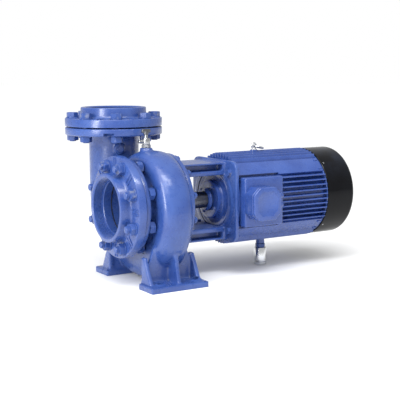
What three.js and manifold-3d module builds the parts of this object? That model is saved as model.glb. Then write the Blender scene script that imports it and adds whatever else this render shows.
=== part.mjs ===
// Close-coupled centrifugal water pump with its motor.
// Millimetres, +Z up, +X along the shaft from suction to fan.
// Everything is laid out about the shaft axis; the finished group is then shifted so that it stands on Z = 0.
import * as THREE from "three";
import { mergeVertices } from "three/addons/utils/BufferGeometryUtils.js";
import Module from "manifold-3d";

const wasm = await Module();
wasm.setup();

// ---- Driving dimensions ----
const clearance = 0.3;
const shaftHeight = 215;
const dischargeHeight = 214;
const dischargeX = 8;
const dischargeY = 180;
const flange = {
  radius: 142.5, thickness: 23, hubRadius: 96, hubLength: 31,
  threadRadius: 84, threadLength: 30, boreRadius: 75,
};
const bolting = {
  circleRadius: 120, count: 8, holeRadius: 11.5, shankRadius: 9.8,
  nutRadius: 17.3, nutHeight: 16, spotFaceRadius: 20, studEnd: 11,
};
const gasketThickness = 3;
const suctionFaceX = -80;
const casingSuctionFlange = { radius: 134, thickness: 16 };
const casing = {
  middleX: 30, halfWidth: 48, wall: 10, chamberRadius: 112, backX: 78, backRadius: 146, backFlange: 16,
};
const neckRadius = 73;
const foot = { startX: -62, endX: 114, innerY: 96, outerY: 176, thickness: 16, holeRadius: 9, ribWidth: 12 };
const impellerRadius = 100;
const lantern = { armTop: 112, armLow: 76, armHalfWidth: 62, rearX: 254, rearThickness: 12, rearHalf: 118 };
const frame = {
  startX: 262, endX: 564, shellRadius: 118, boreRadius: 108,
  finRadius: 135, finThickness: 4.6, panelRadius: 131, padEndX: 396, padHalfHeight: 71,
};
const core = { startX: 310, endX: 490, rotorRadius: 61, statorBore: 62.8 };
const finsPerSide = 10;
const finPitch = 14;
const cowl = { startX: 567, endX: 672, radius: 134, wall: 2.5, rounding: 16 };
const box = {
  startX: 260, endX: 354, halfHeight: 47.5, rootY: -136, coverY: -176, frontY: -186, chamfer: 20,
  wall: 5, glandY: -152, glandHeights: [16, -10], glandBore: 8.4,
};
const jackX = 410;
const eyeX = 386;

// ---- Materials ----
const finish = (color, roughness, metalness) => (
  new THREE.MeshStandardMaterial({ color, roughness, metalness }));
const bluePaint = finish(0x3f56a5, 0.42, 0.1);
const blackPaint = finish(0x0d0f16, 0.25, 0.1);
const zincSteel = finish(0xa9adb3, 0.35, 0.9);
const chromePlate = finish(0xd2d6da, 0.12, 1);
const machinedSteel = finish(0x8d9096, 0.3, 1);
const bronze = finish(0xa8844a, 0.4, 0.9);
const copper = finish(0x9c5a2c, 0.5, 0.6);
const gasketFibre = finish(0x20242a, 0.85, 0);
const sealCarbon = finish(0x2a2a2c, 0.5, 0.1);
const fanPlastic = finish(0x1b1c1f, 0.6, 0);

const pump = new THREE.Group();

function place(name, geometry, material, position = [0, 0, 0], turn = [0, 0, 0]) {
  const piece = new THREE.Mesh(geometry, material);
  piece.name = name;
  piece.position.set(...position);
  piece.rotation.set(...turn);
  pump.add(piece);
  return piece;
}

// ---- Solids: closed meshes that can be joined and cut ----
function signedVolume(points, triangles) {
  const a = new THREE.Vector3();
  const b = new THREE.Vector3();
  const c = new THREE.Vector3();
  let sum = 0;
  for (let i = 0; i < triangles.length; i += 3) {
    a.fromArray(points, 3 * triangles[i]);
    b.fromArray(points, 3 * triangles[i + 1]);
    c.fromArray(points, 3 * triangles[i + 2]);
    sum += a.dot(b.cross(c));
  }
  return sum / 6;
}

function solid(geometry) {
  const bare = geometry.clone();
  bare.deleteAttribute("normal");
  bare.deleteAttribute("uv");
  const merged = mergeVertices(bare, 1e-3);
  const points = new Float32Array(merged.attributes.position.array);
  const triangles = [];
  for (let i = 0; i < merged.index.count; i += 3) {
    const [a, b, c] = [0, 1, 2].map((k) => merged.index.getX(i + k));
    if (a !== b && b !== c && c !== a) triangles.push(a, b, c);
  }
  if (signedVolume(points, triangles) < 0) {
    for (let i = 0; i < triangles.length; i += 3) {
      [triangles[i + 1], triangles[i + 2]] = [triangles[i + 2], triangles[i + 1]];
    }
  }
  const triVerts = new Uint32Array(triangles);
  return new wasm.Manifold(new wasm.Mesh({ numProp: 3, vertProperties: points, triVerts }));
}

// Slivers thinner than this, left where two cut faces almost meet, are cleaned away.
const sliver = 0.04;

function geometryOf(manifold) {
  const result = manifold.simplify(sliver).getMesh();
  const geometry = new THREE.BufferGeometry();
  geometry.setAttribute("position", new THREE.BufferAttribute(result.vertProperties, 3));
  geometry.setIndex(new THREE.BufferAttribute(result.triVerts, 1));
  geometry.computeVertexNormals();
  return geometry;
}

const join = (first, ...rest) => rest.reduce((sum, next) => sum.add(next), first);
const cut = (first, ...rest) => rest.reduce((sum, next) => sum.subtract(next), first);

// A profile is a list of [distance along the axis, radius].
function turned(profile, segments) {
  const points = profile.map(([along, radius]) => new THREE.Vector2(radius, along));
  return new THREE.LatheGeometry(points, segments);
}
const turnedX = (profile, segments = 32) => solid(turned(profile, segments).rotateZ(-Math.PI / 2));
const turnedZ = (profile, segments = 24) => solid(turned(profile, segments).rotateX(Math.PI / 2));
const rodProfile = (from, to, radius) => [[from, 0], [from, radius], [to, radius], [to, 0]];
const ringProfile = (from, to, inner, outer) => [
  [from, inner], [from, outer], [to, outer], [to, inner], [from, inner],
];
const rodX = (from, to, radius, segments = 32) => turnedX(rodProfile(from, to, radius), segments);
const ringX = (from, to, inner, outer, segments = 20) => (
  turnedX(ringProfile(from, to, inner, outer), segments));
const rodZ = (from, to, radius, segments = 16) => turnedZ(rodProfile(from, to, radius), segments);

function block([x0, x1], [y0, y1], [z0, z1]) {
  const geometry = new THREE.BoxGeometry(x1 - x0, y1 - y0, z1 - z0);
  return solid(geometry.translate((x0 + x1) / 2, (y0 + y1) / 2, (z0 + z1) / 2));
}

function shapeOf(points) {
  return new THREE.Shape(points.map(([u, v]) => new THREE.Vector2(u, v)));
}

const alongX = new THREE.Matrix4().makeBasis(
  new THREE.Vector3(0, 1, 0), new THREE.Vector3(0, 0, 1), new THREE.Vector3(1, 0, 0));
const alongMinusY = new THREE.Matrix4().makeBasis(
  new THREE.Vector3(1, 0, 0), new THREE.Vector3(0, 0, 1), new THREE.Vector3(0, -1, 0));

// A (y, z) outline pushed along +X, and an (x, z) outline pushed along -Y.
function extrudedX(shape, from, to, curveSegments = 6) {
  const geometry = new THREE.ExtrudeGeometry(shape, { depth: to - from, bevelEnabled: false, curveSegments });
  return solid(geometry.applyMatrix4(alongX).translate(from, 0, 0));
}
function extrudedY(shape, from, to, curveSegments = 6) {
  const geometry = new THREE.ExtrudeGeometry(shape, { depth: to - from, bevelEnabled: false, curveSegments });
  return solid(geometry.applyMatrix4(alongMinusY).translate(0, to, 0));
}

// Rings of equal point count, skinned and capped at both ends.
function loft(rings) {
  const count = rings[0].length;
  const points = rings.flat(2);
  const triangles = [];
  for (let r = 0; r + 1 < rings.length; r += 1) {
    for (let k = 0; k < count; k += 1) {
      const a = r * count + k;
      const b = r * count + ((k + 1) % count);
      triangles.push(a, b, a + count, b, b + count, a + count);
    }
  }
  const lastRing = (rings.length - 1) * count;
  for (let k = 1; k + 1 < count; k += 1) {
    triangles.push(0, k + 1, k, lastRing, lastRing + k, lastRing + k + 1);
  }
  const geometry = new THREE.BufferGeometry();
  geometry.setAttribute("position", new THREE.Float32BufferAttribute(points, 3));
  geometry.setIndex(triangles);
  return solid(geometry);
}

const range = (count) => Array.from({ length: count }, (_, i) => i);
const radians = THREE.MathUtils.degToRad;
const boltAngle = (i, count = bolting.count) => ((i + 0.5) * 2 * Math.PI) / count;

// ---- Volute casing ----
const cock = { x: casing.middleX - 8, y: 6, bossTop: 160, leverZ: 196 };
const gaugePort = { angle: 256, z: 152, faceRadius: neckRadius + 9 };
const drain = { faceX: 92, z: -168 };
const plugHole = 8.4;
const scroll = { startAngle: 30, endAngle: 360, startRadius: 144, growth: 105, power: 1.5, innerRadius: 94 };

function scrollRing(angle, inset, points) {
  const t = (angle - scroll.startAngle) / (scroll.endAngle - scroll.startAngle);
  const outer = scroll.startRadius + scroll.growth * t ** scroll.power;
  const spread = t ** 10;
  const inner = THREE.MathUtils.lerp(scroll.innerRadius, dischargeY - neckRadius, spread);
  const middleX = THREE.MathUtils.lerp(casing.middleX, dischargeX, spread);
  const halfWidth = THREE.MathUtils.lerp(casing.halfWidth, neckRadius, spread) - inset;
  const halfDepth = (outer - inner) / 2 - inset;
  const roundness = THREE.MathUtils.lerp(0.72, 1, spread);
  return range(points).map((k) => {
    const turn = (2 * Math.PI * k) / points;
    const across = Math.sign(Math.cos(turn)) * Math.abs(Math.cos(turn)) ** roundness * halfWidth;
    const outward = Math.sign(Math.sin(turn)) * Math.abs(Math.sin(turn)) ** roundness * halfDepth;
    const radius = (outer + inner) / 2 + outward;
    return [middleX + across, radius * Math.cos(radians(angle)), radius * Math.sin(radians(angle))];
  });
}

function neckRing(height, radius, points) {
  return range(points).map((k) => {
    const turn = (2 * Math.PI * k) / points;
    return [dischargeX + radius * Math.cos(turn), dischargeY + radius * Math.sin(turn), height];
  });
}

function scrollSolid(startAngle, inset, points) {
  const split = 315;
  const rings = (from, to, steps) => range(steps + 1).map((i) => (
    scrollRing(from + ((to - from) * i) / steps, inset, points)));
  const wrap = rings(startAngle, split, 12);
  const exit = rings(split, scroll.endAngle, 3);
  const top = dischargeHeight - gasketThickness / 2;
  const neck = [
    neckRing(60, neckRadius - inset, points),
    neckRing(160, neckRadius - inset, points),
    neckRing(top - flange.thickness + 6, neckRadius - inset + 9, points),
    neckRing(top + (inset > 0 ? 20 : -2), flange.boreRadius + (inset > 0 ? 0 : 14), points),
  ];
  return join(loft(wrap), loft([...exit, ...neck]));
}

function holesOnCircle(makeHole, count = bolting.count) {
  return range(count).map((i) => makeHole(boltAngle(i, count)));
}

function xHole(y, z, radius, from, to, segments = 8) {
  return rodX(from, to, radius, segments).translate([0, y, z]);
}
function zHole(x, y, radius, from, to, segments = 8) {
  return rodZ(from, to, radius, segments).translate([x, y, 0]);
}

const casingSuctionFace = suctionFaceX + flange.thickness + gasketThickness;
const casingSuctionBack = casingSuctionFace + casingSuctionFlange.thickness;
const casingFrontX = casing.middleX - casing.halfWidth;
const casingDischargeFace = dischargeHeight - gasketThickness / 2;
// The two suction studs beside the discharge neck are screwed into the casing, so they have no back nut.
const isTapped = (angle) => Math.cos(angle) > 0.9;

function footSolid(side) {
  const sole = -shaftHeight;
  const top = sole + foot.thickness;
  const ySpan = (a, b) => (side < 0 ? [-b, -a] : [a, b]);
  const plate = block([foot.startX, foot.endX], ySpan(foot.innerY, foot.outerY), [sole, top]);
  const webTop = -96;
  const web = shapeOf([
    [foot.startX + 4, top - 2], [foot.endX - 4, top - 2], [casing.backX, webTop], [casingFrontX, webTop],
  ]);
  const [webFrom, webTo] = ySpan(foot.innerY + 2, foot.innerY + 16);
  const rib = new THREE.Shape();
  rib.moveTo(side * foot.innerY, top - 2);
  rib.lineTo(side * (foot.outerY - 10), top - 2);
  rib.quadraticCurveTo(side * (foot.innerY + 44), -150, side * 150, -60);
  rib.lineTo(side * foot.innerY, -60);
  const endWeb = shapeOf([
    [side * foot.innerY, top - 2], [side * (foot.outerY - 24), top - 2], [side * (foot.innerY + 16), -128],
    [side * foot.innerY, -128],
  ]);
  const ribs = [casing.middleX - 6, foot.startX + 8, foot.endX - 20].map((x, i) => (
    extrudedX(i === 0 ? rib : endWeb, x, x + foot.ribWidth)));
  const holes = [casing.middleX - 50, casing.middleX + 62].map((x) => (
    zHole(x, side * (foot.outerY - 34), foot.holeRadius, sole - 2, top + 2)));
  return cut(join(plate, extrudedY(web, webFrom, webTo), ...ribs), ...holes);
}

function voluteCasing() {
  const outer = scrollSolid(scroll.startAngle, 0, 16);
  const body = turnedX([
    [casingSuctionFace, 0], [casingSuctionFace, casingSuctionFlange.radius],
    [casingSuctionBack, casingSuctionFlange.radius], [casingSuctionBack, 97], [casingFrontX + 3, 90],
    [casingFrontX + 3, 118], [casing.backX - casing.backFlange, 122],
    [casing.backX - casing.backFlange, casing.backRadius], [casing.backX, casing.backRadius], [casing.backX, 0],
  ]);
  const upper = zHole(
    dischargeX, dischargeY, flange.radius, casingDischargeFace - flange.thickness, casingDischargeFace, 36);
  const cockBoss = zHole(cock.x, cock.y, 17, 120, cock.bossTop, 8);
  const onNeck = (rod) => rod.rotate([0, 0, gaugePort.angle]).translate([dischargeX, dischargeY, gaugePort.z]);
  const gaugeBoss = onNeck(rodX(0, gaugePort.faceRadius, 17, 8));
  const drainBoss = xHole(0, drain.z, 15, drain.faceX - 42, drain.faceX);
  const wetScroll = scrollSolid(scroll.startAngle + 15, casing.wall, 10);
  const wetBody = turnedX([
    [casingSuctionFace - 5, 0], [casingSuctionFace - 5, flange.boreRadius],
    [-30, flange.boreRadius], [-12, 66.5],
    [4, 66.5], [4, casing.chamberRadius], [casing.backX + 5, casing.chamberRadius], [casing.backX + 5, 0],
  ]);
  const suctionHoles = holesOnCircle((angle) => xHole(
    bolting.circleRadius * Math.cos(angle), bolting.circleRadius * Math.sin(angle), bolting.holeRadius,
    casingSuctionFace - 2, isTapped(angle) ? casingSuctionBack - 2 : casingSuctionBack + 2));
  const dischargeHoles = holesOnCircle((angle) => zHole(
    dischargeX + bolting.circleRadius * Math.cos(angle), dischargeY + bolting.circleRadius * Math.sin(angle),
    bolting.holeRadius, casingDischargeFace - flange.thickness - 2, casingDischargeFace + 2));
  const spotFacedAngles = range(bolting.count).map((i) => boltAngle(i)).filter((angle) => !isTapped(angle));
  const spotFaces = spotFacedAngles.map((angle) => xHole(
    bolting.circleRadius * Math.cos(angle), bolting.circleRadius * Math.sin(angle), bolting.spotFaceRadius,
    casingSuctionBack, casingSuctionBack + 21));
  const cockHole = zHole(cock.x, cock.y, 6.4, cock.bossTop - 14, cock.bossTop + 5, 8);
  const gaugeHole = onNeck(rodX(neckRadius - 4, neckRadius + 20, plugHole, 8));
  const drainHole = xHole(0, drain.z, plugHole, drain.faceX - 14, drain.faceX + 4);
  return cut(
    join(outer, body, upper, cockBoss, gaugeBoss, drainBoss, footSolid(-1), footSolid(1)),
    wetScroll, wetBody, ...spotFaces, ...suctionHoles, ...dischargeHoles, cockHole, gaugeHole, drainHole);
}
place("volute_casing", geometryOf(voluteCasing()), bluePaint);

// ---- Companion flanges, gaskets and their bolts ----
// Lathe profile along the flange axis: 0 is the gasket face, the hub points away from it.
function companionFlange(turn) {
  const { radius, thickness, hubRadius, hubLength, threadRadius, threadLength, boreRadius } = flange;
  const end = thickness + hubLength;
  return turn([
    [0, boreRadius], [0, radius], [thickness - 1.5, radius], [thickness, radius - 1.5],
    [thickness, hubRadius + 5], [thickness + 5, hubRadius + 1], [end - 2, hubRadius], [end, hubRadius - 2],
    [end, threadRadius], [end - threadLength, threadRadius - 2], [end - threadLength, boreRadius],
    [0, boreRadius],
  ], 32);
}

const suctionCompanion = cut(
  companionFlange(turnedX).mirror([1, 0, 0]).translate([suctionFaceX + flange.thickness, 0, 0]),
  ...holesOnCircle((angle) => xHole(
    bolting.circleRadius * Math.cos(angle), bolting.circleRadius * Math.sin(angle), bolting.holeRadius,
    suctionFaceX - 8, suctionFaceX + flange.thickness + 2)));
place("suction_companion_flange", geometryOf(suctionCompanion), bluePaint);

const dischargeCompanionBase = dischargeHeight + gasketThickness / 2;
const dischargeCompanion = cut(
  companionFlange(turnedZ).translate([dischargeX, dischargeY, dischargeCompanionBase]),
  ...holesOnCircle((angle) => zHole(
    dischargeX + bolting.circleRadius * Math.cos(angle), dischargeY + bolting.circleRadius * Math.sin(angle),
    bolting.holeRadius, dischargeCompanionBase - 2, dischargeCompanionBase + flange.thickness + 8)));
place("discharge_companion_flange", geometryOf(dischargeCompanion), bluePaint);

const gasketOuter = bolting.circleRadius - bolting.holeRadius - 1;
const gasketProfile = (from) => ringProfile(
  from + clearance, from + gasketThickness - clearance, flange.boreRadius, gasketOuter);
place("suction_gasket", geometryOf(turnedX(gasketProfile(suctionFaceX + flange.thickness), 24)), gasketFibre);
place("discharge_gasket", geometryOf(turnedZ(gasketProfile(casingDischargeFace), 24)), gasketFibre,
  [dischargeX, dischargeY, 0]);

// A bolt along +Z. Its head or nut bears at 0, and the clamped flanges lie between 0 and -grip.
function flangeBolt(grip, stickOut, lowerEnd) {
  const { nutRadius, nutHeight, shankRadius } = bolting;
  const nut = (from) => solid(new THREE.CylinderGeometry(nutRadius, nutRadius, nutHeight, 6)
    .rotateX(Math.PI / 2).translate(0, 0, from + nutHeight / 2));
  const shank = rodZ(-grip - (lowerEnd === "nut" ? nutHeight + 3 : -4), nutHeight + stickOut, shankRadius, 8);
  const top = nut(clearance);
  return lowerEnd === "nut" ? join(shank, top, nut(-grip - nutHeight - clearance)) : join(shank, top);
}

const suctionGrip = flange.thickness + gasketThickness + casingSuctionFlange.thickness;
const dischargeGrip = 2 * flange.thickness + gasketThickness;
const throughStud = geometryOf(flangeBolt(suctionGrip, bolting.studEnd, "nut"));
const tappedStud = geometryOf(flangeBolt(suctionGrip, bolting.studEnd, "tapped"));
const hexBolt = geometryOf(flangeBolt(dischargeGrip, -4, "nut"));
range(bolting.count).forEach((i) => {
  const angle = boltAngle(i);
  const across = bolting.circleRadius * Math.cos(angle);
  const along = bolting.circleRadius * Math.sin(angle);
  place(`suction_bolt_${i + 1}`, isTapped(angle) ? tappedStud : throughStud, zincSteel,
    [suctionFaceX, across, along], [0, -Math.PI / 2, 0]);
  place(`discharge_bolt_${i + 1}`, hexBolt, zincSteel,
    [dischargeX + across, dischargeY + along, dischargeCompanionBase + flange.thickness]);
});

// ---- Lantern bracket with the casing cover ----
const coverFace = casing.backX + 1.6 + clearance;
const coverBack = coverFace + 14;
const hub = { radius: 54, endX: 112, sealBore: 40, shaftBore: 26 };
const cornerBoltRadius = 118.8;
const boreRimX = 238.5;

function roundedSquare(half, corner) {
  const shape = new THREE.Shape();
  shape.absarc(half - corner, half - corner, corner, 0, Math.PI / 2);
  shape.absarc(corner - half, half - corner, corner, Math.PI / 2, Math.PI);
  shape.absarc(corner - half, corner - half, corner, Math.PI, 1.5 * Math.PI);
  shape.absarc(half - corner, corner - half, corner, 1.5 * Math.PI, 2 * Math.PI);
  return shape;
}

function lanternBracket() {
  const { armTop, armLow, armHalfWidth, rearX, rearThickness, rearHalf } = lantern;
  const cover = turnedX([
    [68, 0], [68, 100], [66, 104], [66, casing.chamberRadius - clearance],
    [coverFace, casing.chamberRadius - clearance], [coverFace, 142], [coverBack, 142], [coverBack, 72],
    [coverBack + 8, hub.radius], [hub.endX, hub.radius], [hub.endX, 0],
  ], 32);
  const arm = (side) => {
    const z = (a, b) => (side > 0 ? [a, b] : [-b, -a]);
    const beam = block([coverBack - 4, rearX - 2], [-armHalfWidth, armHalfWidth], z(armLow, armTop));
    const pockets = [-1, 1].map((face) => block(
      [coverBack + 10, rearX - rearThickness - 8],
      face < 0 ? [-armHalfWidth - 2, -armHalfWidth + 26] : [armHalfWidth - 26, armHalfWidth + 2],
      z(armLow + 13, armTop - 4)));
    return cut(beam, ...pockets);
  };
  const rear = extrudedX(roundedSquare(rearHalf, 28), rearX - rearThickness, rearX, 5);
  const rim = turnedX([
    [boreRimX, 0], [boreRimX, 98], [boreRimX + 1.5, 102], [rearX - rearThickness, 105],
    [rearX - 5, 105], [rearX - 5, 0],
  ], 32);
  const bores = [
    rodX(60, 74, 30, 16), rodX(72, hub.endX + 2, hub.sealBore, 20),
    rodX(boreRimX - 2, rearX + 2, 86, 32),
  ];
  const cornerHoles = [45, 135, 225, 315].map((angle) => xHole(
    Math.cos(radians(angle)) * cornerBoltRadius, Math.sin(radians(angle)) * cornerBoltRadius, 6.5,
    rearX - rearThickness - 2, rearX + 2, 8));
  return cut(join(cover, arm(1), arm(-1), rear, rim), ...bores, ...cornerHoles);
}
place("lantern_bracket", geometryOf(lanternBracket()), bluePaint);
place("casing_gasket", geometryOf(ringX(casing.backX + clearance, coverFace - clearance,
  casing.chamberRadius + 1, 124, 24)), gasketFibre);

// ---- Shaft, impeller and seal ----
const shaftProfile = [
  [8, 0], [8, 13], [60, 13], [60, 22], [150, 22], [150, 24], [232, 24], [232, 22.2], [270, 22.2], [270, 27],
  [546, 27], [546, 19.7], [584, 19.7], [584, 14], [626, 14], [626, 0],
];
place("shaft", geometryOf(turnedX(shaftProfile, 16)), machinedSteel);

function impeller() {
  const eyeRadius = 62;
  const backPlate = turnedX([
    [14, 0], [14, 22], [30, 28], [46, 46], [54, impellerRadius], [60, impellerRadius], [60, 0],
  ], 24);
  const shroud = turnedX([
    [-8, 55], [-8, eyeRadius], [6, eyeRadius], [16, 70], [26, impellerRadius], [30, impellerRadius],
    [21, 70], [12, 57], [-8, 55],
  ], 24);
  const bladeShape = new THREE.Shape();
  bladeShape.absarc(62, -24, 66, radians(170), radians(70), true);
  bladeShape.absarc(62, -24, 60.5, radians(70), radians(170), false);
  const blade = extrudedX(bladeShape, 19, 56, 5);
  const limit = turnedX([
    [10, 20], [14, 62], [17, 68], [27, impellerRadius - 1], [56, impellerRadius - 1], [48, 20], [10, 20],
  ], 16);
  const blades = range(6).map((i) => blade.rotate([60 * i, 0, 0]));
  const wheel = join(backPlate, shroud, ...blades.map((b) => b.intersect(limit)));
  return cut(wheel, rodX(5, 65, 13 + clearance, 16));
}
place("impeller", geometryOf(impeller()), bronze);
const nutCap = join(
  solid(new THREE.CylinderGeometry(19, 19, 12, 6).rotateZ(-Math.PI / 2).translate(7.5, 0, 0)),
  turnedX([[-14, 0], [-12, 8], [-6, 13], [2, 15], [2, 0]], 12));
place("impeller_nut", geometryOf(cut(nutCap, rodX(7.7, 20, 13 + clearance, 16))), machinedSteel);
place("casing_wear_ring", geometryOf(ringX(-11.5, 3.7, 63, 66.2, 24)), bronze);

place("seal_rotor", geometryOf(ringX(76, 90, 22 + clearance, 33, 16)), machinedSteel);
place("seal_seat", geometryOf(ringX(90.4, 104, 25, 37, 16)), sealCarbon);

const gland = { startX: hub.endX + clearance, endX: hub.endX + 13, studOffset: 44, studRadius: 5 };
function glandPlate() {
  const outline = new THREE.Shape();
  outline.absarc(gland.studOffset, 0, 12, -Math.PI / 2, Math.PI / 2);
  outline.absarc(0, 0, 36, radians(40), radians(140));
  outline.absarc(-gland.studOffset, 0, 12, Math.PI / 2, 1.5 * Math.PI);
  outline.absarc(0, 0, 36, radians(220), radians(320));
  const plate = extrudedX(outline, gland.startX, gland.endX, 5);
  const spigot = rodX(hub.endX - 7, gland.startX + 2, hub.sealBore - 0.6, 16);
  const studHoles = [-1, 1].map((side) => xHole(side * gland.studOffset, 0, gland.studRadius + 0.6,
    gland.startX - 2, gland.endX + 2, 8));
  return cut(join(plate, spigot), rodX(100, gland.endX + 4, 26, 16), ...studHoles);
}
place("gland_plate", geometryOf(glandPlate()), bluePaint);
const glandStud = geometryOf(join(rodX(clearance, 34, gland.studRadius, 8),
  solid(new THREE.CylinderGeometry(9, 9, 8, 6).rotateZ(-Math.PI / 2).translate(17.6, 0, 0))));
[-1, 1].forEach((side, i) => {
  place(`gland_stud_${i + 1}`, glandStud, zincSteel, [hub.endX, side * gland.studOffset, 0]);
});
const slinger = turnedX([[208, 24.3], [208, 28], [213, 33], [218, 33], [218, 24.3], [208, 24.3]], 16);
place("shaft_slinger", geometryOf(slinger), bluePaint);

// ---- Bearings: outer ring, inner ring, and a ring of caged balls between them ----
function bearing(prefix, startX, width, boreRadius, outerRadius) {
  const wall = (outerRadius - boreRadius) * 0.24;
  const ballCircle = (outerRadius + boreRadius) / 2;
  const ballRadius = (outerRadius - boreRadius) / 2 - wall - 0.5;
  const middle = startX + width / 2;
  const ball = solid(new THREE.IcosahedronGeometry(ballRadius, 0));
  const balls = range(7).map((i) => {
    const angle = (2 * Math.PI * i) / 7;
    return ball.translate([middle, ballCircle * Math.cos(angle), ballCircle * Math.sin(angle)]);
  });
  const cage = ringX(middle - 2, middle + 2, ballCircle - 2.5, ballCircle + 2.5, 14);
  place(`${prefix}_bearing_outer`, geometryOf(ringX(startX, startX + width, outerRadius - wall, outerRadius)),
    machinedSteel);
  place(`${prefix}_bearing_balls`, geometryOf(join(cage, ...balls)), machinedSteel);
  place(`${prefix}_bearing_inner`, geometryOf(ringX(startX, startX + width, boreRadius, boreRadius + wall)),
    machinedSteel);
}
const driveBearing = { startX: 236, width: 25, bore: 22.5, outer: 50 };
const fanBearing = { startX: 550, width: 18, bore: 20, outer: 40 };
bearing("drive", driveBearing.startX, driveBearing.width, driveBearing.bore, driveBearing.outer);
bearing("fan", fanBearing.startX, fanBearing.width, fanBearing.bore, fanBearing.outer);

// ---- Motor ----
const driveEndshield = turnedX([
  [222, 25.2], [222, 52], [224, 57], [232.5, 57], [233.5, 54.5], [235, 54.5], [236, 57],
  [239.5, 60], [239.5, 84.5],
  [lantern.rearX + clearance, 84.5], [lantern.rearX + clearance, 112],
  [257, 115], [frame.startX - clearance, 115], [frame.startX - clearance, frame.boreRadius - clearance],
  [frame.startX + 8, frame.boreRadius - clearance], [frame.startX + 8, 96],
  [260, 92], [251, 80], [249, 62], [262, 60],
  [262, driveBearing.outer + clearance], [driveBearing.startX - clearance, driveBearing.outer + clearance],
  [driveBearing.startX - clearance, 25.2], [222, 25.2],
]);
place("drive_endshield", geometryOf(driveEndshield), bluePaint);

function frameOutline() {
  const { shellRadius, finRadius, finThickness, panelRadius } = frame;
  const points = [];
  const reach = (finPitch * (finsPerSide - 1)) / 2;
  range(4).forEach((side) => {
    const turn = (side * Math.PI) / 2;
    const add = (outward, across) => points.push([
      outward * Math.cos(turn) - across * Math.sin(turn),
      outward * Math.sin(turn) + across * Math.cos(turn),
    ]);
    range(finsPerSide).forEach((i) => {
      const middle = -reach + i * finPitch;
      const root = (across) => Math.sqrt(shellRadius ** 2 - across ** 2);
      const tip = Math.sqrt(finRadius ** 2 - middle ** 2 * 0.9);
      const [low, high] = [middle - finThickness / 2, middle + finThickness / 2];
      add(root(low), low);
      add(tip, low);
      add(tip, high);
      add(root(high), high);
    });
    const panelFrom = Math.asin((reach + finPitch * 0.75) / panelRadius);
    range(5).forEach((k) => {
      const angle = turn + THREE.MathUtils.lerp(panelFrom, Math.PI / 2 - panelFrom, k / 4);
      points.push([panelRadius * Math.cos(angle), panelRadius * Math.sin(angle)]);
    });
  });
  return shapeOf(points);
}

function statorFrame() {
  const { startX, endX, boreRadius, padEndX, padHalfHeight } = frame;
  const shell = extrudedX(frameOutline(), startX, endX);
  const pad = block([startX, padEndX], [box.rootY, -112], [-padHalfHeight, padHalfHeight]);
  const eyeBoss = rodZ(124, 137, 12, 12).translate([eyeX, 0, 0]);
  const jackBoss = rodZ(-149, -110, 13, 16).translate([jackX, 0, 0]);
  const cableWay = block([box.startX + 30, box.endX - 30], [box.rootY - 5, -100], [-16, 16]);
  return cut(join(shell, pad, eyeBoss, jackBoss), rodX(startX - 5, endX + 5, boreRadius, 32), cableWay,
    rodZ(-151, -118, 8.4, 12).translate([jackX, 0, 0]), rodZ(128, 139, 5.6, 8).translate([eyeX, 0, 0]));
}
place("stator_frame", geometryOf(statorFrame()), bluePaint);
const winding = { overhang: 30, inner: 68, outer: 100 };
place("stator_core", geometryOf(ringX(
  core.startX, core.endX, core.statorBore, frame.boreRadius - clearance - 1, 20)), machinedSteel);
place("winding_head_drive", geometryOf(ringX(
  core.startX - winding.overhang, core.startX - clearance, winding.inner, winding.outer, 16)), copper);
place("winding_head_fan", geometryOf(ringX(
  core.endX + clearance, core.endX + winding.overhang, winding.inner, winding.outer, 16)), copper);
place("rotor_core", geometryOf(ringX(core.startX, core.endX, 27.7, core.rotorRadius, 20)), machinedSteel);

const seatStart = fanBearing.startX - 2;
const seatEnd = fanBearing.startX + fanBearing.width + clearance;
const fanEndshield = turnedX([
  [frame.endX - 6, frame.boreRadius - clearance], [frame.endX + clearance, frame.boreRadius - clearance],
  [frame.endX + clearance, 128], [574, 128], [580, 110], [582, 50], [582, 24], [seatEnd, 24],
  [seatEnd, fanBearing.outer + clearance], [seatStart, fanBearing.outer + clearance],
  [seatStart, 48], [568, 56], [568, 100], [frame.endX - 6, frame.boreRadius - clearance],
]);
place("fan_endshield", geometryOf(fanEndshield), blackPaint);

function coolingFan() {
  const hubDisc = join(rodX(590, 622, 26, 16), turnedX([[600, 0], [600, 92], [603, 92], [603, 0]], 24));
  const bladeGeometry = block([602, 630], [-1.5, 1.5], [24, 92]);
  const blades = range(8).map((i) => bladeGeometry.rotate([45 * i, 0, 0]));
  return cut(join(hubDisc, ...blades), rodX(585, 635, 14.3, 16));
}
place("cooling_fan", geometryOf(coolingFan()), fanPlastic);

function fanCowl() {
  const { startX, endX, radius, wall, rounding } = cowl;
  const shellProfile = (outer, from, to, corner) => [
    [from, 0], [from, outer], [to - corner, outer], [to - corner * 0.62, outer - corner * 0.08],
    [to - corner * 0.29, outer - corner * 0.29], [to - corner * 0.08, outer - corner * 0.62],
    [to, outer - corner], [to, 0]];
  const shell = cut(
    turnedX(shellProfile(radius, startX, endX, rounding), 36),
    turnedX(shellProfile(radius - wall, startX - 5, endX - wall, rounding - wall), 36));
  const slots = range(12).map((i) => block([endX - 8, endX + 4], [-6, 6], [34, 98]).rotate([30 * i, 0, 0]));
  return cut(shell, ...slots);
}
place("fan_cowl", geometryOf(fanCowl()), blackPaint);

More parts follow.
